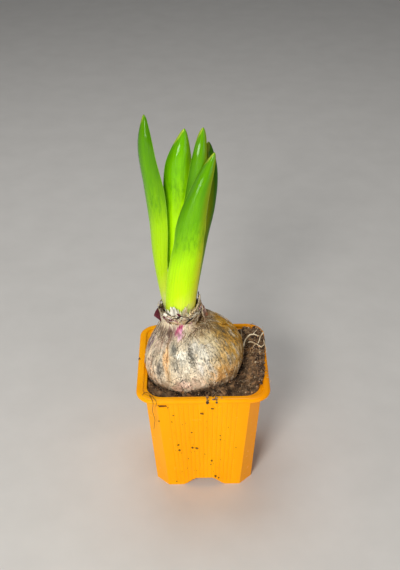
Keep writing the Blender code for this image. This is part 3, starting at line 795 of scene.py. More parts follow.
# Dark specks, in the same way: where, how wide and high, and how dense.
TUNIC_SPECKS = (
    (-129, 8, 6, 5, 0.9), (-107, 18.5, 7, 3, 0.7), (-106, 10, 8, 5, 0.8), (-84, 13, 6, 6, 0.8),
    (-70, 8, 16, 8, 0.35), (-25, 17, 12, 9, 0.7), (-12, 6, 10, 12, 0.6), (-40, 12, 9, 9, 0.25),
    (-42, -1, 9, 4, 0.8), (-46, 8, 14, 8, 0.45),
    (-145, 14, 14, 6, 0.3), (-100, 1, 10, 2, 0.5), (-60, 21, 20, 3, 0.2), (-150, -2, 20, 4, 0.5),
    (-20, 25, 24, 3, 0.5), (-140, 25, 30, 3, 0.5), (60, 12, 40, 10, 0.5), (150, 12, 40, 10, 0.5),
)


def patch(turn, h, at, up, wide, high):
    """A soft spot on the bulb: a bell curve round it and one up it, multiplied."""
    return np.exp(-(turn_from(turn, at) / math.radians(wide)) ** 2 - ((h - up) / high) ** 2)


def tunic_paint(meridian, bearing, rise):
    """The ground colours of the dry skin, and how dense its specks, fibres and cracks are.

    A painted highlight and a painted shadow are among the ground colours.
    """
    ground = np.broadcast_to(np.array([238, 220, 188.0]), meridian.shape).copy()
    drift = noise(meridian * (1, 1, 0.35), 6.0, 41, 3)[..., None]
    ground = ground + np.array([14, 16, 22.0]) * drift
    ragged = 1.15 + 1.5 * noise(meridian * (1, 1, 0.6), 2.0, 51, 4)
    for at, high_at, wide, high_by, shade, strength in TUNIC_PATCHES:
        share = np.clip(patch(bearing, rise, at, high_at, wide, high_by) * ragged - 0.06, 0, 1)
        ground = blend(ground, shade, (share * strength)[..., None])
    specks = 0.50 + 0.25 * drift[..., 0]
    for at, high_at, wide, high_by, dense in TUNIC_SPECKS:
        specks = specks + patch(bearing, rise, at, high_at, wide, high_by) * dense * 0.7
    fibres = np.clip(patch(bearing, rise, -8, 6, 34, 16) * 1.2, 0, 0.8)
    cracks = np.clip(patch(bearing, rise, -106, -1, 16, 4.5) * 1.5, 0, 1)
    return ground, np.stack([np.clip(specks, 0, 1.3), fibres, cracks], axis=-1)


def make_bulb():
    """The bulb's skin, up over its shoulder to the torn neck and down into the hole.

    Rings up the bulb's profile, evenly along its arc, then a smooth curve to the neck.
    Relief across the skin is added along its normal: fine ribs up the bulb, the edges of
    skin layers where a slow noise passes a level, and a crease across the front.
    """
    turn = np.arange(BULB_AROUND) * 2 * np.pi / BULB_AROUND
    h = np.linspace(plate_height(), BULB_SHOULDER, 800)
    run = np.concatenate([[0], np.cumsum(np.hypot(np.diff(h), np.diff(bulb_radius(h))))])
    heights = np.interp(np.linspace(0, run[-1], BULB_ROWS), run, h)
    body = bulb_point(heights[:, None], turn[None, :])

    def neck_ring(radius, z):
        """A level ring of the neck, wider towards the back left with height."""
        flare = 0.13 * np.clip(0.4 - 0.6 * np.cos(turn) + 0.8 * np.sin(turn), 0, 1)
        wide = radius + flare * np.clip(z - NECK_FLOOR, 0, None)
        return np.stack([NECK_AT[0] + wide * np.cos(turn), NECK_AT[1] + wide * np.sin(turn),
                         np.broadcast_to(float(z), turn.shape)], axis=1)

    low, high = body[-1], neck_ring(*NECK_RINGS[0])
    leaving = unit(body[-1] - body[-2])
    length = np.linalg.norm(high - low, axis=1)[:, None]
    t = np.linspace(0, 1, 15)[1:, None, None]
    shoulder = (low * (2 * t ** 3 - 3 * t ** 2 + 1) + leaving * length * (t ** 3 - 2 * t ** 2 + t)
                + high * (3 * t ** 2 - 2 * t ** 3)
                + np.array([0, 0, 1.0]) * length * (t ** 3 - t ** 2))
    neck = np.stack([neck_ring(*ring) for ring in NECK_RINGS[1:]])
    rings = np.concatenate([body, shoulder, neck])
    up = np.gradient(rings, axis=0)
    round_it = np.roll(rings, -1, axis=1) - np.roll(rings, 1, axis=1)
    normal = unit(np.cross(round_it, up))

    rise = (rings - np.array(BULB_AT)) @ bulb_frame()[0]
    bearing = np.broadcast_to(turn, rise.shape)
    along = np.concatenate([[0], np.cumsum(np.linalg.norm(np.diff(rings[:, 0], axis=0), axis=1))])
    meridian = np.stack([BULB_RADIUS * np.cos(bearing), BULB_RADIUS * np.sin(bearing),
                         np.broadcast_to(along[:, None], rise.shape)], axis=2)
    ribs = noise(meridian * (1, 1, 0.10), 1.6, 21, 2)
    waves = noise(meridian * (1, 1, 0.5), 9.0, 25, 2)
    layer = noise(meridian * (1, 1, 0.4), 11.0, 31, 3)
    torn = step(layer, 0.10, 0.13) - 0.8 * step(layer, -0.34, -0.31)
    crease = np.exp(-((rise - 19.8 - 0.6 * np.sin(5 * bearing)) / 0.35) ** 2)
    crease = crease * patch(bearing, rise, -52, 19.8, 15, 3)
    curled = step(noise(meridian * (1, 1, 0.6), 4.6, 35, 3), 0.16, 0.22)
    relief = 0.12 * ribs + 0.30 * waves + 0.26 * torn + 0.20 * curled - 0.4 * crease
    fade = np.ones(len(rings))
    fade[:3] = fade[-7:] = 0.0
    rings = rings + normal * (relief * fade[:, None])[..., None]

    ground, marks = tunic_paint(meridian, bearing, rise)
    made = piece("bulb_skin", *skin(rings), TUNIC, tint=with_poles(linear(ground)),
                 meridian=with_poles(meridian), marks=with_poles(marks))
    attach(made, "root")
    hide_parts("bulb")
    make_flakes(heights, along[:len(heights)])


# Loose flakes of skin on the front: bearing, height, how far round and up, and colour.
FLAKES = (
    (-96, 14.0, 4.6, 2.4, (255, 250, 232)), (-92, 9.5, 3.4, 4.2, (252, 244, 222)),
    (-101, -3.0, 4.4, 3.2, (255, 216, 192)), (-112, -5.5, 3.2, 2.4, (240, 200, 170)),
    (-78, 5.5, 1.3, 4.6, (255, 244, 226)), (-68, 11.0, 4.0, 4.6, (250, 242, 222)),
    (-60, 4.5, 3.0, 3.2, (246, 216, 164)), (-150, 8.0, 3.4, 4.6, (250, 220, 190)),
    (-142, 3.0, 3.2, 3.4, (214, 184, 150)), (-121, 14.5, 1.7, 4.6, (250, 196, 136)),
    (-52, 17.5, 6.4, 2.2, (232, 208, 160)), (-72, 16.5, 4.6, 2.6, (242, 234, 218)),
    (-36, 6.0, 2.6, 5.4, (236, 182, 92)), (-20, 9.0, 2.2, 6.0, (222, 160, 56)),
    (-60, -6.5, 4.4, 2.6, (206, 148, 80)), (-84, -5.0, 3.6, 3.0, (228, 198, 168)),
    (-66, -4.0, 4.4, 2.4, (226, 180, 126)),
)


def make_flakes(heights, climbs):
    """Loose flakes on the skin: ragged discs that follow it and curl up at their edges.

    A flake's outline is a circle whose radius wanders by a sharp noise, flattened to its
    reach round and up the bulb.  Points lift with the fourth power of their share of the
    radius.  Those listed lie on the front and smaller ones are drawn all round.
    """
    draw = np.random.default_rng(57)
    share = np.linspace(0.1, 1.0, 6)[:, None]
    spoke = np.linspace(0.0, 2 * np.pi, 32, endpoint=False)[None, :]
    rows = [row + (0.55, 1.0) for row in FLAKES]
    for _ in range(SMALL_FLAKES):
        size = draw.uniform(0.6, 2.0)
        tone = draw.uniform(0.70, 1.12)
        rows.append((draw.uniform(-180, 180), draw.uniform(-9.0, 21.0), size,
                     size * draw.uniform(1.0, 2.6), tuple(np.array([244, 226, 196]) * tone),
                     0.25, draw.uniform(0.2, 0.8)))
    points, faces, layers, count = [], [], [], 0
    for number, (at, up, wide, high, shade, own, curl) in enumerate(rows):
        rim = np.stack([4 * np.cos(spoke[0]), 4 * np.sin(spoke[0]),
                        np.full(spoke.shape[1], 9.0 * number)], axis=1)
        along = share * (1.0 + 0.62 * noise(rim, 1.7, 191, 4))[None, :]
        turn = math.radians(at) + along * np.cos(spoke) * wide / float(bulb_radius(up))
        h = np.minimum(up + along * np.sin(spoke) * high, BULB_SHOULDER)
        lift = 0.36 + 0.34 * curl * share ** 4 * (0.5 + 0.5 * np.sin(spoke + number))
        rings = np.concatenate([bulb_point(h, turn, lift - 0.14),
                                bulb_point(h, turn, lift)[::-1]])
        grid, cells = skin(rings)
        place = np.stack([BULB_RADIUS * np.cos(turn), BULB_RADIUS * np.sin(turn),
                          np.interp(h, heights, climbs)], axis=2)
        ground, marks = tunic_paint(place, turn, h)
        ground = blend(ground, shade, own)
        both = [np.concatenate([part, part[::-1]]) for part in (linear(ground), place, marks)]
        points.append(grid)
        faces += [[corner + count for corner in cell] for cell in cells]
        count += len(grid)
        layers.append([with_poles(part) for part in both])
    tint, place, marks = (np.concatenate(parts) for parts in zip(*layers))
    made = piece("bulb_flakes", np.concatenate(points), faces, TUNIC, tint=tint,
                 meridian=place, marks=marks)
    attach(made, "root")


# ---- leaves ---------------------------------------------------------------------------

def make_leaf(name, leaf, seed):
    """A channelled blade: an arc of a section carried up a curved ridge.

    The section turns through twice its curl, its inner face lies one thickness inside
    the outer one, and towards the tip the half breadth falls off as an ellipse does.
    Low ribs run up the outer face and the margins waver a little.
    """
    u = np.linspace(0.0, 1.0, LEAF_ROWS + 1) ** 0.92
    s = np.sin(np.linspace(-1.0, 1.0, LEAF_STRIPS + 1) * np.pi / 2)
    tip = np.clip((u - TIP_STARTS) / (1.0 - TIP_STARTS), 0.0, 1.0)
    half = spline(leaf["half"], u) * np.sqrt(np.clip(1.0 - tip ** 2, 0.0, 1.0))
    half = np.maximum(half, LEAF_NIB)
    curl = np.radians(spline(leaf["curl"], u))
    face = np.radians(spline(leaf["face"], u))
    radius = half / np.sin(curl)
    out = np.stack([np.sin(face), -np.cos(face), 0 * face], axis=1)
    across = np.stack([np.cos(face), np.sin(face), 0 * face], axis=1)
    z = LEAF_FOOT + (leaf["top"] - LEAF_FOOT) * u
    ridge = np.stack([spline(leaf["x"], u), spline(leaf["y"], u), z], axis=1)
    ridge -= out * (HOOD * tip ** 2)[:, None]
    turn = s[None, :] * curl[:, None]
    flat = np.stack([s[None, :] * half[:, None], (u * 120.0)[:, None] + 0 * turn,
                     np.full(turn.shape, float(seed))], axis=2)
    spread = np.clip(radius / 4.0, 0.0, 1.0)[:, None] * turn
    normal = (out[:, None] * np.cos(spread)[..., None]
              + across[:, None] * np.sin(spread)[..., None])
    waver = 0.16 * noise(flat * (0, 1, 1), 9.0, seed) * np.abs(s[None, :]) ** 6
    ribs = 0.022 * np.cos(flat[..., 0] * 4.2) * (1.0 - np.abs(s[None, :]) ** 4)
    fading = (1.0 - tip ** 2)[:, None] * step(u, 0.0, 0.12)[:, None]
    outer = (ridge[:, None] + across[:, None] * (radius[:, None] * np.sin(turn))[..., None]
             - out[:, None] * (radius[:, None] * (1.0 - np.cos(turn)))[..., None]
             + normal * ((waver + ribs) * fading)[..., None])
    middle = LEAF_MIDDLE[0] + (LEAF_MIDDLE[1] - LEAF_MIDDLE[0]) * u
    thick = LEAF_MARGIN + (middle[:, None] - LEAF_MARGIN) * (1.0 - s[None, :] ** 2) ** 0.8
    inner = outer - normal * thick[..., None]
    share = np.stack([s[None, :] + 0 * turn, u[:, None] + 0 * turn, 0 * turn], axis=2)

    def both(front, behind):
        """The outer face's rows and the inner face's, as closed rings."""
        return np.concatenate([front, behind[:, ::-1]], axis=1)

    made = piece(f"{name}_blade", *skin(both(outer, inner)), leaf_green(f"green_{name}", leaf),
                 share=with_poles(both(share, share + (0, 0, 1.0))),
                 blade=with_poles(both(flat, flat + (0, 0, 7.0))))
    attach(made, "root")
    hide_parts(name)


# ---- thin pieces ----------------------------------------------------------------------

class Bundle:
    """Many small solids gathered into one mesh, each with a colour."""

    def __init__(self):
        self.points, self.faces, self.tints, self.count = [], [], [], 0

    def add(self, points, faces, tint):
        """tint is one colour of 0 to 255 values, or one for each point."""
        self.points.append(points)
        self.faces += [[corner + self.count for corner in face] for face in faces]
        self.tints.append(np.broadcast_to(np.array(tint, float), points.shape))
        self.count += len(points)

    def make(self, name, finish):
        """The piece that all of them make."""
        tints = linear(np.concatenate(self.tints))
        return piece(name, np.concatenate(self.points), self.faces, finish, tint=tints)


def tube(path, radius, sides=6):
    """A round strand: rings across a path, each ring's radius its own."""
    path = np.asarray(path, float)
    along = unit(np.gradient(path, axis=0))
    level = abs(along[:, 2]).max() < 0.9
    guide = np.array([0.31, 0.17, 1.0] if level else [1.0, 0.2, 0.1])
    side = unit(np.cross(along, guide))
    up = np.cross(side, along)
    turn = np.arange(sides) * 2 * np.pi / sides
    radius = np.broadcast_to(radius, len(path))[:, None]
    return skin(path[:, None] + side[:, None] * (radius * np.cos(turn))[..., None]
                - up[:, None] * (radius * np.sin(turn))[..., None])


def neck_place(bearing, radius, z):
    """Points round the neck's axis."""
    bearing, radius, z = np.broadcast_arrays(bearing, radius, z)
    return np.stack([NECK_AT[0] + radius * np.cos(bearing),
                     NECK_AT[1] + radius * np.sin(bearing), z], axis=-1)


def sheet(outer, thick):
    """A thin closed sheet: a grid of points and the same grid a little nearer the neck."""
    away = outer - np.array([NECK_AT[0], NECK_AT[1], 0.0])
    away[..., 2] = 0.0
    return skin(np.concatenate([outer, (outer - unit(away) * thick)[:, ::-1]], axis=1))


def scale_sheet(at, wide, foot, top, radii, tear, seed):
    """A torn papery scale end that wraps part of the neck.

    Its bearing runs to either side of at and narrows with height.  Its radius goes
    through radii from foot to top, its top edge is torn by a sharp noise, and wrinkles
    push it in and out.
    """
    s = np.linspace(-1.0, 1.0, 22)[None, :]
    v = np.linspace(0.0, 1.0, 12)[:, None]
    bearing = math.radians(at) + s * math.radians(wide) * (1.0 - 0.3 * v ** 1.5)
    row = np.concatenate([s * 9.0, 0 * s, 0 * s + seed], axis=0).T
    edge = top - tear * (0.5 + 0.5 * noise(row, 1.1, seed, 3)) - tear * 0.5 * s[0] ** 4
    height = foot + (edge[None, :] - foot) * v
    spot = np.stack([bearing * 12.0, height, 0 * height + seed], axis=2)
    radius = spline(radii, v[:, 0])[:, None] + 0.25 * noise(spot, 1.8, seed + 3, 2) * v
    return sheet(neck_place(bearing, radius, height), 0.22)


def sheet_tint(points, foot_shade, top_shade, low, high, seed):
    """The foot's colour passing into the top's with height, mottled by noise."""
    share = step(points[:, 2] + 1.5 * noise(points, 1.5, seed, 2), low, high)[:, None]
    mottle = 1.0 + 0.16 * noise(points, 0.8, seed + 9, 2)[:, None]
    return blend(np.array(foot_shade), top_shade, share) * mottle


CREAM = (226, 208, 172)
MILK = (252, 246, 226)
BUFF = (182, 152, 112)
BROWN = (112, 84, 58)
DARK = (56, 40, 32)
PURPLE = (104, 34, 54)
MAGENTA = (172, 44, 104)
ROSE = (226, 170, 176)

# Torn scale ends behind the shards: bearing, half width, foot and top height, radii from
# foot to top, depth of the tears, and the colours of foot and top.
NECK_SCALES = (
    (-92, 60, 115.2, 122.6, (11.8, 12.3, 12.0), 2.4, BUFF, CREAM),
    (-20, 50, 115.0, 123.0, (11.8, 12.4, 12.2), 2.6, BUFF, CREAM),
    (55, 52, 113.8, 120.4, (12.3, 13.1, 13.0), 2.4, BROWN, DARK),
    (130, 52, 113.6, 121.2, (12.5, 13.5, 13.8), 2.6, BROWN, BUFF),
    (-160, 40, 115.0, 121.6, (11.9, 12.9, 13.2), 2.2, BUFF, PURPLE),
    (20, 40, 113.0, 122.0, (12.0, 12.5, 12.4), 3.6, BROWN, CREAM),
    (90, 44, 113.0, 121.4, (12.1, 12.6, 12.5), 3.6, PURPLE, BUFF),
    (165, 36, 113.0, 121.8, (12.2, 13.0, 13.4), 3.2, BROWN, CREAM),
)
# How high the pale shards reach at bearings round the neck, and their colour there.
SHARD_BEARINGS = (-180, -150, -128, -115, -100, -88, -75, -62, -45, -25, -8, 20, 60, 120, 180)
SHARD_TOPS = (119.5, 121.5, 127.6, 130.4, 129.4, 128.0, 129.6, 126.8, 126.6, 127.4, 129.0, 126,
              122, 121.5, 119.5)
SHARD_SHADES = (ROSE, CREAM, MILK, MILK, MILK, (232, 228, 170), (240, 232, 190), (220, 206, 140),
                (214, 186, 130), CREAM, CREAM, BUFF, BUFF, BUFF, ROSE)


def neck_reach(bearing, z):
    """The radius round the neck's axis that just clears the leaves at a height."""
    rise = np.clip(z - 116.0, 0.0, None)
    left = np.clip(-np.cos(bearing), 0.0, 1.0)
    return 10.45 + 0.07 * rise + left * (0.6 + 0.10 * rise)


def shards(bundle, draw):
    """Pale torn points of tissue that stand against the foot of the leaves.

    Each narrows to a ragged point; its bearing drifts and its point curls off the leaf.
    """
    v = np.linspace(0.0, 1.0, 12)[:, None]
    s = np.linspace(-1.0, 1.0, 7)[None, :]
    bearings = np.linspace(-180.0, 180.0, SHARDS, endpoint=False)
    for at in bearings + draw.uniform(-2, 2, SHARDS):
        wide = math.radians(draw.uniform(2.6, 7.5))
        top = np.interp(at, SHARD_BEARINGS, SHARD_TOPS) - draw.exponential(1.0)
        point = draw.uniform(-0.7, 0.7)
        narrow = (1.0 - v ** draw.uniform(2.5, 9.0)) * 0.94 + 0.06
        bearing = (math.radians(at) + (s - point) * wide * narrow + point * wide
                   + math.radians(draw.normal(0, 3.0)) * v)
        foot = 112.6
        ragged = 0.5 * noise(np.stack([bearing * 11, 9 * v + 0 * s, at + 0 * bearing], axis=2),
                             0.9, 181)
        z = foot + (top - foot) * v + ragged * v
        reach = neck_reach(bearing, z) + draw.uniform(0.05, 0.9) + draw.exponential(0.25) * v ** 4
        shade = np.array([np.interp(at, SHARD_BEARINGS, c) for c in np.transpose(SHARD_SHADES)])
        shade = shade * draw.uniform(0.72, 1.08)
        points, faces = sheet(neck_place(bearing, reach, z), draw.uniform(0.14, 0.3))
        share = step(points[:, 2] + 1.4 * noise(points, 1.2, 183, 2), 115.0, 121.5)[:, None]
        tint = blend(np.array(BUFF) * 0.8, shade, share)
        bundle.add(points, faces, np.clip(tint * (1 + 0.14 * noise(points, 0.7, 185, 2)[:, None]),
                                          0, 255))


def curls(bundle, draw):
    """Short bent strands of torn skin wound round the neck between z 115 and 124."""
    shades = np.array([CREAM, CREAM, CREAM, MILK, MILK, ROSE, BUFF, BUFF, BROWN, BROWN, DARK,
                       PURPLE], float)
    t = np.linspace(0.0, 1.0, 10)
    for number in range(CURLS):
        front = number % 3 > 0
        at = draw.uniform(-190, 10) if front else draw.uniform(-180, 180)
        at = math.radians(at)
        z = draw.uniform(116.0, 123.6)
        length = draw.uniform(2.0, 7.5)
        slant = draw.choice([-1, 1]) * draw.uniform(0.3, 1.0)
        rise = draw.normal(0.1, 0.45)
        bearing = at + slant * t * length / 12.0 + 0.05 * np.sin(t * draw.uniform(3, 9))
        height = z + rise * length * t + draw.normal(0, 0.5) * np.sin(3 * t)
        radius = (neck_reach(bearing, height) + draw.uniform(0.8, 2.3)
                  + draw.normal(0, 0.5) * t ** 2)
        path = neck_place(bearing, radius, height)
        if number % 4 < 1:
            wide = draw.uniform(0.4, 1.0) * np.sin(np.pi * np.clip(t, 0.06, 0.97)) ** 0.5
            tilt = draw.uniform(-0.6, 0.6)
            side = np.linspace(-1.0, 1.0, 4)[None, :, None] * wide[:, None, None]
            points, faces = sheet(path[:, None] + side * np.array([0.2 * tilt, 0.0, 1.0])
                                  + 0.25 * side ** 2 * draw.normal(), 0.16)
        else:
            points, faces = tube(path, draw.uniform(0.10, 0.30) * (1.0 - 0.6 * t), 5)
        shade = shades[draw.integers(len(shades))] * draw.uniform(0.8, 1.1)
        if abs(math.degrees(at) + 92) < 9 and draw.random() < 0.4:
            shade = np.array((MAGENTA, PURPLE, ROSE)[draw.integers(3)], float)
        bundle.add(points, faces, np.clip(shade, 0, 255))


def shoulder_fibres(bundle, draw):
    """Fibres that lie down from the neck over the bulb's shoulder."""
    shades = np.array([CREAM, CREAM, BUFF, BUFF, BROWN, BROWN, (148, 122, 84)], float)
    t = np.linspace(0.0, 1.0, 9)
    for _ in range(SHOULDER_FIBRES):
        at = math.radians(draw.uniform(-75, 75) if draw.random() < 0.6
                          else draw.uniform(-180, 180))
        high, low = draw.uniform(22.5, 26.5), draw.uniform(17.5, 22.5)
        turn = at + math.radians(draw.normal(0, 16)) * t + 0.04 * np.sin(t * draw.uniform(3, 9))
        lift = 0.2 + draw.uniform(0.1, 0.55) * np.sin(np.pi * t)
        h = high + (low - high) * t
        path = bulb_point(np.minimum(h, BULB_SHOULDER), turn, lift)
        over = np.clip(h - BULB_SHOULDER, 0, None)[:, None]
        path = blend(path, neck_place(turn, 12.6, 114.5), over / 5.0)
        points, faces = tube(path, draw.uniform(0.08, 0.20) * (1.0 - 0.5 * t), 4)
        bundle.add(points, faces, shades[draw.integers(len(shades))] * draw.uniform(0.8, 1.1))


# Patches of the tall scale at the right: bearing, height, how wide and high, and colour.
RIGHT_SCALE_PATCHES = (
    (0, 121.0, 9, 2.6, (98, 32, 44)), (-12, 121.0, 8, 5.5, (244, 222, 184)),
    (20, 120.0, 9, 3.0, (240, 206, 178)), (12, 118.6, 9, 2.0, (240, 208, 184)),
    (8, 125.0, 9, 1.5, (216, 156, 150)), (-8, 127.0, 6, 1.6, (190, 172, 140)),
    (0, 131.6, 30, 1.8, (34, 24, 20)), (18, 114.6, 14, 1.6, (200, 112, 76)),
)


def right_scale(bundle):
    """The tall torn scale that leans from the shoulder up against the right of the leaves."""
    v = np.linspace(0.0, 1.0, 40)[:, None]
    s = np.linspace(-1.0, 1.0, 25)[None, :]
    rough = noise(np.stack([9 * v + 0 * s, 3 * np.sign(s) + 0 * v, 0 * v * s], axis=2), 1.3, 171, 2)
    wide = np.radians(27.0) * (1.0 - v) ** 0.75 * (1.0 + 0.22 * rough) + np.radians(2.0)
    turn = np.radians(6.0 + 2.0 * v) + s * wide
    fold = 0.8 * noise(np.stack([turn * 12.0, 16 * v + 0 * s, 0 * turn], axis=2), 2.6, 172, 2)
    radius = 17.4 - 6.2 * v ** 0.8 + fold
    height = 113.2 + 19.2 * v + 0.5 * noise(np.stack([turn * 14, 20 * v + 0 * s, 0 * turn],
                                                      axis=2), 2.0, 173)
    outer = neck_place(turn, np.maximum(radius, neck_reach(turn, height) + 0.3), height)
    points, faces = sheet(outer, 0.3)
    where = np.arctan2(points[:, 1] - NECK_AT[1], points[:, 0] - NECK_AT[0])
    rise = points[:, 2]
    tint = sheet_tint(points, (184, 146, 106), (146, 108, 84), 112.0, 118.0, 175)
    for bearing, up, across, high, shade in RIGHT_SCALE_PATCHES:
        share = np.exp(-((where - math.radians(bearing)) / math.radians(across)) ** 2
                       - ((rise - up) / high) ** 2)
        share = np.clip(share * (1.2 + 0.5 * noise(points, 1.3, 176, 2)), 0, 1)[:, None]
        tint = blend(tint, shade, share)
    bundle.add(points, faces, np.clip(tint, 0, 255))
    t = np.linspace(0.0, 1.0, 40)
    roll = spline(((-66, 120.8), (-54, 123.4), (-40, 124.6), (-26, 125.4), (-13, 127.0),
                   (-6, 129.4), (-4, 131.2)), t)
    bearing = np.radians(roll[:, 0])
    path = neck_place(bearing, neck_reach(bearing, roll[:, 1]) + 0.7, roll[:, 1])
    points, faces = tube(path, 0.55 * (1.0 - 0.5 * t) * (1 + 0.2 * np.sin(23 * t)), 8)
    bundle.add(points, faces, (238, 214, 164))


def left_flake(bundle):
    """The stiff purple flake that stands off the neck's left side."""
    v = np.linspace(0.0, 1.0, 30)[:, None]
    s = np.linspace(0.0, 1.0, 11)[None, :]
    edge = spline(((-25.6, 0), (-27.8, 0), (-29.6, 0), (-30.7, 0), (-30.2, 0), (-29.0, 0),
                   (-27.2, 0)), v[:, 0])[:, :1]
    inner = -24.6 - 2.2 * v
    x = inner + (edge - inner) * s
    y = 1.4 - 3.4 * s - 1.2 * v + 0.5 * np.sin(6 * v) + 0.9 * s * s
    z = 111.2 + 13.2 * v + 0.8 * (s - 0.5) * np.sin(9 * v)
    outer = np.stack([x, y, z], axis=2)
    points, faces = skin(np.concatenate([outer, (outer + (0.1, 0.4, 0.0))[:, ::-1]], axis=1))
    tint = sheet_tint(points, (92, 38, 46), (110, 40, 56), 112.0, 118.0, 177)
    dark = np.clip(step(points[:, 2], 121.0, 124.5), 0, 1)[:, None]
    bundle.add(points, faces, blend(tint, DARK, dark))


def make_neck():
    """The torn dry scale ends and the tangle of fibres round the leaves' foot."""
    draw = np.random.default_rng(41)
    scales = Bundle()
    for k, (at, wide, foot, top, radii, tear, low, high) in enumerate(NECK_SCALES):
        points, faces = scale_sheet(at, wide, foot, top, radii, tear, 100 + k)
        scales.add(points, faces, sheet_tint(points, low, high, foot + 1.0, top - 2.5, 130 + k))
    shards(scales, draw)
    right_scale(scales)
    left_flake(scales)
    made = scales.make("neck_scales", DRY)
    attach(made, "root")

    fibres = Bundle()
    curls(fibres, draw)
    shoulder_fibres(fibres, draw)
    made = fibres.make("neck_fibres", DRY)
    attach(made, "root")


# ---- soil -----------------------------------------------------------------------------

# Heaps and hollows of the soil: height, middle, and how far they reach along X and Y.
SOIL_HEAPS = ((4.8, 36, 30, 15.0, 15.0), (4.0, 36, 6, 11.0, 20.0), (-2.0, 23, -15, 8.0, 8.0),
              (1.6, 9, -29, 6.5, 6.5))


def soil_height(x, y):
    """Top of the soil: a little below the rim, heaped at the right and the back right."""
    top = POT_HEIGHT - SOIL_BELOW_RIM + SOIL_SLOPE * x
    top = top + 0.5 * np.sin(0.31 * x + 1.0) * np.sin(0.27 * y)
    top = top + 0.3 * np.sin(0.53 * x - 0.47 * y)
    for high, at_x, at_y, wide, deep in SOIL_HEAPS:
        top = top + high * np.exp(-((x - at_x) / wide) ** 2 - ((y - at_y) / deep) ** 2)
    return top


def soil_relief(plan):
    """Clods and grains over the soil's top, in millimetres."""
    flat = np.column_stack([plan, np.zeros(len(plan))])
    return (0.7 * noise(flat, 9.0, 59) + 1.1 * noise(flat, 4.6, 61, 2)
            + 0.65 * noise(flat, 2.0, 64, 2)
            + 0.25 * np.abs(noise(flat, 0.9, 67, 2)))


def contact_heights(turn):
    """How far up the bulb the soil reaches in each direction, by halving."""
    low, high = np.full(len(turn), plate_height()), np.full(len(turn), 20.0)
    for _ in range(40):
        middle = (low + high) / 2
        at = bulb_point(middle, turn, SOCKET_GAP)
        inside = at[:, 2] < soil_height(at[:, 0], at[:, 1]) - 0.3
        low, high = np.where(inside, middle, low), np.where(inside, high, middle)
    return low


SOIL_SHADES = np.array([(92, 68, 48), (70, 52, 40), (112, 86, 62), (132, 100, 68), (58, 44, 34),
                        (148, 112, 78), (104, 86, 70), (80, 58, 42), (122, 102, 82)], float)


def soil_shade(points, seed):
    """Dark ground colours of compost over points, mottled by noise."""
    share = np.clip(0.5 + 0.5 * noise(points, 2.2, seed, 3), 0, 1)[:, None]
    warm = np.clip(noise(points, 5.0, seed + 5, 2), 0, 1)[:, None]
    return (np.array([68, 54, 40.0]) + np.array([94, 74, 52.0]) * share
            + np.array([18, 9, 0.0]) * warm)


def make_soil():
    """The soil: the socket under the bulb, the rough top out to the wall, and the sides.

    Painted shade makes it darker in its hollows and close to the bulb.
    """
    fine = np.linspace(-1.0, 1.0, 67)
    level = POT_HEIGHT - SOIL_BELOW_RIM
    brim = cavity_section(level, 0.3, fine, 10)
    turn = np.arctan2(brim[:, 1] - BULB_AT[1], brim[:, 0] - BULB_AT[0])
    foot, contact = plate_height(), contact_heights(turn)
    crack = 1.6 * np.exp(-((turn + 0.45) / 0.55) ** 2)
    rings = []
    for share in np.linspace(0.0, 1.0, 14):
        rings.append(bulb_point(foot + (contact - foot) * share, turn,
                                SOCKET_GAP + crack * share ** 2))
    lip, edge = rings[-1][:, :2], brim[:, :2]
    for share in np.linspace(0.0, 1.0, 64)[1:]:
        plan = lip + (edge - lip) * share
        settle = step(share, 0.0, 0.06) * (1.0 - 0.4 * step(share, 0.94, 1.0))
        front = np.exp(-((plan[:, 1] + 36) / 2.5) ** 2) + np.exp(-((plan[:, 0] + 36) / 2.5) ** 2)
        top = soil_height(*plan.T) + soil_relief(plan) * settle - 0.8 * front
        rings.append(np.column_stack([plan, top]))
    for z in (ROUNDS_TO, POT_HEIGHT - 10.5, ROUNDS_FROM, POT_HEIGHT / 2,
              ARCH_HEIGHT + FLOOR + 0.4):
        rings.append(cavity_section(z, 0.3, fine, 10))
    points, faces = skin(np.array(rings[::-1]))
    # Painted shade: darker in the hollows of the relief and in the crevice beside the bulb.
    hollow = step(noise(points * (1, 1, 0), 4.6, 61, 2), -0.7, 0.5)
    near = step(np.linalg.norm(points - np.array(BULB_AT), axis=1) - BULB_RADIUS, 0.0, 2.6)
    painted_shade = (0.79 + 0.42 * hollow) * (0.5 + 0.5 * near)
    made = piece("soil_bed", points, faces, SOIL,
                 tint=linear(soil_shade(points, 71) * painted_shade[:, None]))
    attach(made, "root")
    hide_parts("soil")


# Heap over the rim at the right: plan points of its middle line, and at each the reach
# inwards and outwards and the height over the rim.
SPILL = ((36.8, -27.0, 0.8, 0.2, 0.2), (38.4, -17.5, 2.8, 0.5, 0.8), (39.1, -5.0, 4.3, 1.1, 1.3),
         (39.4, 7.0, 5.0, 1.7, 1.9), (39.4, 15.0, 5.5, 2.3, 2.4), (39.2, 22.0, 6.0, 2.6, 2.8),
         (38.8, 28.0, 5.0, 2.0, 2.4), (38.0, 32.6, 3.2, 1.0, 1.3), (37.0, 36.0, 1.4, 0.3, 0.3))


def outwards_of(along):
    """Directions to the right of a line in plan, one long."""
    along = unit(along)
    return np.stack([along[:, 1], -along[:, 0]], axis=1)


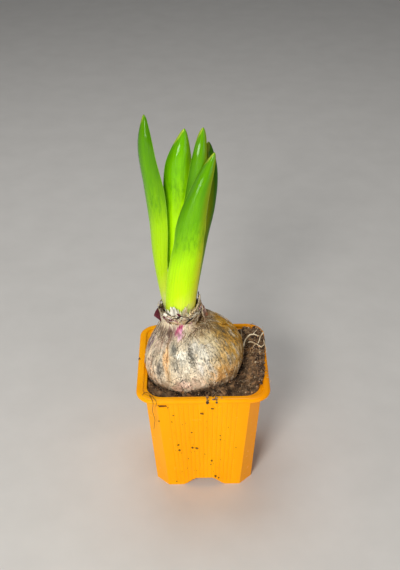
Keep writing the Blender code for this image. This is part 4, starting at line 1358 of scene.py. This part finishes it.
def make_spill():
    """Soil heaped over the rim: half-round sections along a curved middle line."""
    t = np.linspace(0.0, 1.0, 150)
    line = spline(SPILL, t)
    outwards = outwards_of(np.gradient(line[:, :2], axis=0))
    turn = np.linspace(np.pi, 0.0, 28)[None, :]
    ends = np.sin(np.pi * np.clip(t, 0.004, 0.996)) ** 0.35
    reach = np.column_stack([line[:, 2], line[:, 3]]) * ends[:, None]
    offset = (reach[:, 1:] - reach[:, :1]) / 2 + (reach.sum(axis=1) / 2)[:, None] * np.cos(turn)
    height = line[:, 4:] * ends[:, None] * np.sin(turn) ** 0.8
    plan = line[:, None, :2] + outwards[:, None] * offset[..., None]
    crest = np.concatenate([plan, np.full(plan.shape[:2] + (1,), POT_HEIGHT + 0.25)], axis=2)
    crest[..., 2] += height
    rough = 0.9 * noise(crest, 3.2, 81, 3) * np.minimum(height / 1.2, 1.0)
    crest[..., 2] = np.maximum(crest[..., 2] + rough, POT_HEIGHT + 0.2)
    crest[..., :2] += outwards[:, None] * (0.5 * noise(crest, 2.6, 85, 2))[..., None]
    under = crest[:, ::-1][:, 6:-6:5].copy()
    under[..., 2] = POT_HEIGHT + 0.05
    points, faces = skin(np.concatenate([crest, under], axis=1))
    made = piece("soil_spill", points, faces, SOIL, tint=linear(soil_shade(points, 72)))
    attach(made, "root")


def icosahedron():
    """The twelve corners of a regular solid of twenty faces, at distance one."""
    g = (1 + math.sqrt(5)) / 2
    corners = [(0, a, b * g) for a in (-1, 1) for b in (-1, 1)]
    corners += [(a, b * g, 0) for a in (-1, 1) for b in (-1, 1)]
    corners += [(b * g, 0, a) for a in (-1, 1) for b in (-1, 1)]
    corners = np.array(corners) / math.hypot(1, g)
    near = np.linalg.norm(corners[:, None] - corners[None], axis=2) < 1.2
    faces = []
    for a in range(12):
        for b in range(a + 1, 12):
            for c in range(b + 1, 12):
                if near[a, b] and near[b, c] and near[a, c]:
                    ways = np.dot(np.cross(corners[b] - corners[a], corners[c] - corners[a]),
                                  corners[a])
                    faces.append((a, b, c) if ways > 0 else (a, c, b))
    return corners, np.array(faces)


def crumbs(name, centres, sizes, shades, seed, least=0.35):
    """Angular crumbs: a twenty-faced solid for each, stretched, turned and dented.

    The least stretch of an axis tells how flat or long the crumbs may be.
    """
    draw = np.random.default_rng(seed)
    corners, faces = icosahedron()
    count = len(centres)
    stretch = draw.uniform(least, 1.25, (count, 1, 3))
    dents = draw.uniform(0.5, 1.2, (count, 12, 1))
    w, x, y, z = unit(draw.normal(size=(count, 4))).T
    spin = np.stack([1 - 2 * (y * y + z * z), 2 * (x * y - z * w), 2 * (x * z + y * w),
                     2 * (x * y + z * w), 1 - 2 * (x * x + z * z), 2 * (y * z - x * w),
                     2 * (x * z - y * w), 2 * (y * z + x * w), 1 - 2 * (x * x + y * y)],
                    axis=1).reshape(count, 3, 3)
    points = (corners[None] * stretch * dents) @ spin
    points = points * np.asarray(sizes)[:, None, None] + np.asarray(centres)[:, None]
    all_faces = (faces[None] + 12 * np.arange(count)[:, None, None]).reshape(-1, 3)
    tint = linear(np.repeat(np.asarray(shades, float), 12, axis=0))
    made = piece(name, points.reshape(-1, 3), all_faces.tolist(), SOIL, tint=tint)
    made.data.shade_flat()
    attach(made, "root")


def on_soil(plan):
    """The height of the soil under plan points, with its clods."""
    return soil_height(*plan.T) + soil_relief(plan)


def crumbs_on_soil(draw):
    """Centres and sizes of crumbs strewn over the soil, outside the bulb."""
    plan = draw.uniform(-35.6, 35.6, (SOIL_CRUMBS, 2))
    away = np.linalg.norm(plan - np.array(BULB_AT[:2]), axis=1)
    corner = np.abs(plan).sum(axis=1) < 64.5
    plan = plan[(away > 29.5) & corner]
    size = 0.28 + 0.9 * draw.random(len(plan)) ** 3.2
    size[::29] += 0.9
    height = on_soil(plan) + size * draw.uniform(-0.3, 0.5, len(plan))
    return np.column_stack([plan, height]), size


def crumbs_on_heap(draw):
    """The same for the heap over the rim: on its half-round sections."""
    t = draw.random(HEAP_CRUMBS)
    line = spline(SPILL, t)
    outwards = outwards_of(spline(SPILL, t + 0.002)[:, :2] - line[:, :2])
    turn = draw.uniform(0.0, np.pi, len(t))
    offset = (line[:, 3] - line[:, 2]) / 2 + (line[:, 2] + line[:, 3]) / 2 * np.cos(turn)
    size = 0.3 + 0.95 * draw.random(len(t)) ** 2.6
    top = POT_HEIGHT + 0.35 + line[:, 4] * np.sin(turn) ** 0.8 + 0.2 * size
    return np.column_stack([line[:, :2] + outwards * offset[:, None], top]), size


def crumbs_on_rim(draw):
    """The same for the rim: a clump and a looser group in front, and a few at the left."""
    many, few = RIM_CRUMBS, SIDE_CRUMBS
    front = np.column_stack([np.where(np.arange(many) < CLUMP_CRUMBS,
                                      draw.normal(2.6, 0.45, many), draw.normal(8.4, 1.6, many)),
                             draw.uniform(-43.0, -37.0, many), np.full(many, POT_HEIGHT + 0.35)])
    fall = np.clip(-front[:, 1] - (POT_WIDTH / 2 - RIM_DOME[0]), 0, 2.6) / RIM_DOME[0]
    front[:, 2] -= RIM_DOME[1] * fall ** 2
    size = draw.uniform(0.4, 1.1, many)
    left = np.column_stack([draw.normal(-41.4, 0.5, few), draw.normal(2.0, 1.3, few),
                            np.full(few, POT_HEIGHT - 0.15)])
    return np.concatenate([front, left]), np.concatenate([size, np.full(few, 0.42)])


def crumbs_on_bulb(draw):
    """The same for crumbs stuck to the foot of the bulb, just over the soil."""
    many = STUCK_CRUMBS
    stuck = bulb_point(draw.uniform(-17.0, -6.5, many) - 1.5 * draw.random(many),
                       draw.uniform(-np.pi, np.pi, many), 0.35)
    stuck = stuck[stuck[:, 2] > soil_height(stuck[:, 0], stuck[:, 1]) - 0.8]
    return stuck, 0.22 + 0.6 * draw.random(len(stuck)) ** 2


def scatter_crumbs():
    """Crumbs over the soil, over the heap, on the rim and round the bulb, a few bright."""
    draw = np.random.default_rng(91)
    groups = [crumbs_on_soil(draw), crumbs_on_heap(draw), crumbs_on_rim(draw),
              crumbs_on_bulb(draw)]
    centres, size = (np.concatenate(values) for values in zip(*groups))
    shades = SOIL_SHADES[draw.integers(len(SOIL_SHADES), size=len(size))]
    shades = shades * draw.uniform(0.85, 1.35, (len(size), 1))
    bright = draw.random(len(size))
    shades[bright > 0.955] = (176, 148, 114)
    shades[bright > 0.985] = (214, 192, 158)
    crumbs("soil_crumbs", centres, size, shades, 92)


def scatter_fibres():
    """Thin peat fibres and bark slivers lying over the soil and the heap."""
    draw = np.random.default_rng(95)
    bundle = Bundle()
    count = 0
    while count < SOIL_FIBRES + HEAP_FIBRES:
        start = draw.uniform(-35, 35, 2) if count < SOIL_FIBRES else np.array(
            [draw.uniform(30, 41), draw.uniform(-22, 38)])
        if np.linalg.norm(start - np.array(BULB_AT[:2])) < 32.0 or np.abs(start).sum() > 70:
            continue
        count += 1
        heading, length = draw.uniform(0, 2 * np.pi), draw.uniform(1.5, 7.0)
        t = np.linspace(0.0, 1.0, 8)
        bend = heading + draw.normal(0, 0.9) * t
        steps = np.stack([np.cos(bend), np.sin(bend)], axis=1) * length / 8
        plan = start + np.cumsum(steps, axis=0)
        plan[:, 0] = np.clip(plan[:, 0], -35.4, 41.5)
        floor = np.where(plan[:, 0] > 36.0, np.maximum(on_soil(plan), 82.0), on_soil(plan))
        height = floor + 0.3 + draw.uniform(0.0, 1.0) * np.sin(np.pi * t)
        points, faces = tube(np.column_stack([plan, height]),
                             draw.uniform(0.06, 0.17) * (1.0 - 0.5 * t), 4)
        shade = ((150, 122, 92), (196, 170, 134), (96, 74, 54), (124, 92, 62))[draw.integers(4)]
        bundle.add(points, faces, shade)
    made = bundle.make("soil_fibres", SOIL)
    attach(made, "root")


# ---- roots ----------------------------------------------------------------------------

# Roots on the soil: radius at start and end, then plan points with their height over it.
ROOTS = (
    (0.80, 0.50, ((27.6, 13.2, -0.2), (28.6, 17.2, 0.6), (31.0, 20.2, 1.2), (33.6, 20.9, 1.5),
                  (36.2, 20.8, 1.3), (39.3, 20.5, 0.9))),
    (0.62, 0.40, ((42.0, 25.6, 1.4), (39.5, 20.5, 1.5), (38.2, 16.0, 0.9), (36.8, 11.6, 0.6))),
    (0.58, 0.34, ((30.4, 15.6, 0.2), (33.2, 15.1, 0.6), (35.6, 12.8, 0.9), (37.3, 10.7, 0.9),
                  (39.3, 9.6, 1.2), (41.4, 13.0, 1.4), (41.1, 17.0, 1.6))),
    (0.50, 0.20, ((37.3, 11.2, 0.8), (37.8, 6.7, 0.6), (37.7, 1.5, 0.4), (37.0, -1.4, 0.0))),
    (0.34, 0.14, ((33.6, 20.9, 1.4), (35.4, 23.2, 1.7), (37.2, 26.5, 1.5), (38.0, 30.0, 0.9))),
    (0.26, 0.12, ((35.6, 12.8, 0.9), (34.0, 10.2, 0.8), (33.2, 7.6, 0.4), (33.8, 5.4, -0.2))),
    (0.30, 0.12, ((41.2, 14.0, 1.5), (42.2, 10.5, 1.5), (42.4, 7.2, 0.9), (41.8, 4.0, 0.4))),
)


def make_roots():
    """Pale roots: tubes along smooth routes over the soil, thinner towards their ends."""
    bundle = Bundle()
    for k, (first, last, route) in enumerate(ROOTS):
        route = np.array(route)
        u = np.linspace(0.0, 1.0, 12 * (len(route) - 1) + 1)
        path = spline(route, u)
        path[:, 2] += soil_height(path[:, 0], path[:, 1]) + first * 0.9
        wave = noise(np.column_stack([u * 30, 0 * u + k, 0 * u]), 2.2, 201, 2)
        path[:, 2] += 0.12 * wave
        thick = 0.74 * (first + (last - first) * u) * (1.0 + 0.10 * wave)
        thick *= np.clip(np.minimum(u, 1.0 - u) / 0.03, 0.35, 1.0)
        points, faces = tube(path, thick, 12)
        bundle.add(points, faces, (250, 240, 214))
    t = np.linspace(0.0, 1.0, 16)
    upright = np.column_stack([26.1 + 0.5 * np.sin(3 * t), 22.6 + 1.2 * t, 79.0 + 9.0 * t])
    points, faces = tube(upright, 0.32 * (1.0 - 0.5 * t), 8)
    bundle.add(points, faces, (236, 220, 186))
    made = bundle.make("pale_roots", ROOT)
    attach(made, "root")
    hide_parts("surface_roots")


# Thin dark strands that hang over the front left of the rim: points of their routes.
STRANDS = (
    (0.20, ((-34.0, -35.2, 78.5), (-33.6, -37.0, 81.0), (-32.8, -39.4, 81.3),
            (-31.9, -42.0, 81.0), (-31.4, -43.1, 79.6), (-31.6, -42.2, 77.2),
            (-31.9, -38.4, 73.5), (-32.4, -37.0, 68.4), (-31.2, -36.4, 61.4),
            (-31.6, -36.0, 56.6), (-32.0, -35.9, 52.8))),
    (0.16, ((-33.6, -35.4, 78.6), (-32.6, -37.4, 81.0), (-31.0, -40.2, 81.3),
            (-29.6, -42.4, 80.8), (-29.3, -43.0, 78.4), (-29.8, -40.0, 75.4),
            (-30.4, -37.2, 72.4))),
    (0.18, ((-38.2, -36.4, 81.0), (-36.8, -35.0, 81.9), (-35.2, -34.2, 81.0),
            (-33.4, -34.6, 79.2))),
    (0.14, ((40.6, -20.6, 81.6), (42.0, -22.6, 82.4), (42.8, -24.4, 82.0),
            (43.2, -25.6, 80.8))),
)


def make_strands():
    """Dry root strands over the rim."""
    bundle = Bundle()
    for radius, route in STRANDS:
        path = spline(route, np.linspace(0.0, 1.0, 10 * len(route)))
        points, faces = tube(path, radius * np.linspace(1.0, 0.6, len(path)), 6)
        shade = (84, 50, 20) if route[0][0] < 0 else (200, 168, 120)
        bundle.add(points, faces, shade)
    made = bundle.make("rim_strands", DRY)
    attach(made, "root")


# Soil specks on the front wall: how far right, how high, and their size.
SPECKS = (
    (-1.2, 65.1, 0.95), (5.1, 69.3, 0.55), (6.3, 69.0, 0.5), (-7.8, 48.5, 0.6),
    (10.6, 45.4, 0.42), (10.7, 41.7, 0.42), (-16.6, 37.3, 0.8), (-16.1, 32.6, 0.7),
    (-7.6, 34.8, 0.6), (-4.7, 34.2, 0.75), (20.9, 34.2, 0.42), (4.9, 22.4, 0.75),
    (-18.5, 2.9, 0.4), (7.6, 7.4, 0.9), (9.6, 6.0, 0.5), (-19.3, 63.8, 0.5),
    (-28.6, 59.1, 0.5), (-20.4, 58.2, 0.35), (-22.6, 70.6, 0.4), (0.4, 28.6, 0.3),
    (-10.4, 24.6, 0.3), (4.4, 18.8, 0.35), (-13.8, 55.6, 0.28), (15.8, 52.6, 0.25),
)


def make_specks():
    """Crumbs and finer stains on the pot's front wall, and the smear under its rim."""
    x, z, size = np.array(SPECKS).T
    draw = np.random.default_rng(97)
    x = np.concatenate([x, draw.normal(-3.0, 9.0, FINE_SPECKS)])
    z = np.concatenate([z, draw.normal(38.0, 17.0, FINE_SPECKS).clip(12.0, 70.0)])
    size = np.concatenate([size, draw.uniform(0.14, 0.26, FINE_SPECKS)])
    centres = np.column_stack([x, -wall_half(z) - 0.05, z])
    smear = np.column_stack([draw.normal(-26.2, 1.0, SMEAR_CRUMBS), np.zeros(SMEAR_CRUMBS),
                             draw.normal(72.1, 0.26, SMEAR_CRUMBS)])
    smear[:, 1] = -wall_half(smear[:, 2]) - 0.02
    centres = np.concatenate([centres, smear])
    size = np.concatenate([size * 1.25, draw.uniform(0.3, 0.6, SMEAR_CRUMBS)])
    shades = np.tile(np.array([120, 74, 22.0]), (len(size), 1)) * draw.uniform(
        0.7, 1.2, (len(size), 1))
    shades[len(SPECKS):len(SPECKS) + FINE_SPECKS] = (176, 112, 18)
    crumbs("pot_specks", centres, size, shades, 98, least=0.8)


# ---- studio ---------------------------------------------------------------------------

def make_floor():
    """A wide plain floor."""
    mesh = bpy.data.meshes.new("studio_floor")
    reach = 3.0
    mesh.from_pydata([(-reach, -reach, 0), (reach, -reach, 0), (reach, reach, 0),
                      (-reach, reach, 0)], [], [(0, 1, 2, 3)])
    mesh.materials.append(studio_floor())
    floor = bpy.data.objects.new("studio_floor", mesh)
    bpy.context.scene.collection.objects.link(floor)


def light(name, at, aim, size, watts, shade=(1.0, 1.0, 1.0)):
    """A square soft light that looks from one point to another."""
    lamp = bpy.data.lights.new(name, "AREA")
    lamp.shape, lamp.size, lamp.energy, lamp.color = "SQUARE", size, watts, shade
    made = bpy.data.objects.new(name, lamp)
    made.location = at
    made.rotation_euler = (Vector(aim) - Vector(at)).to_track_quat("-Z", "Y").to_euler()
    bpy.context.scene.collection.objects.link(made)


def make_studio():
    """The floor, five soft lights and a dim sky."""
    make_floor()
    middle = (0.0, 0.0, 0.12)
    light("key", (-0.28, -0.85, 0.72), middle, 0.26, 7.4, (1.0, 0.98, 0.95))
    light("window", (-0.62, -0.88, 0.20), (-0.01, 0.0, 0.22), 0.20, 2.4)
    light("fill", (0.60, -0.80, 0.22), middle, 0.5, 1.9)
    light("side", (-0.90, -0.10, 0.45), middle, 0.6, 0.8)
    light("over", (-0.10, 0.35, 0.95), middle, 0.5, 2.8)
    world = bpy.data.worlds.new("studio")
    world.use_nodes = True
    sky = world.node_tree.nodes["Background"].inputs
    sky["Color"].default_value = (0.9, 0.92, 0.95, 1.0)
    sky["Strength"].default_value = 0.17
    bpy.context.scene.world = world
    bpy.context.scene.view_settings.view_transform = "Standard"


def make_camera():
    """A camera at its place, looking along one direction and rolled a little."""
    lens = bpy.data.cameras.new("camera")
    lens.lens, lens.sensor_width, lens.clip_start, lens.clip_end = CAMERA_LENS, 36.0, 0.01, 20.0
    made = bpy.data.objects.new("camera", lens)
    made.location = CAMERA_AT
    look = Vector(CAMERA_LOOK).to_track_quat("-Z", "Y").to_matrix()
    made.rotation_euler = (look @ Matrix.Rotation(CAMERA_ROLL, 3, "Z")).to_euler()
    bpy.context.scene.collection.objects.link(made)
    bpy.context.scene.camera = made


AMBER, SOIL, TUNIC, DRY, ROOT = (amber_plastic(), compost(), papery_tunic(), dry_scale(),
                                 pale_root())
make_camera()
make_studio()
make_pot()
make_soil()
make_spill()
scatter_crumbs()
scatter_fibres()
make_bulb()
make_neck()
for number, (leaf_name, leaf_shape) in enumerate(LEAVES.items()):
    make_leaf(leaf_name, leaf_shape, 301 + 10 * number)
make_roots()
make_strands()
make_specks()
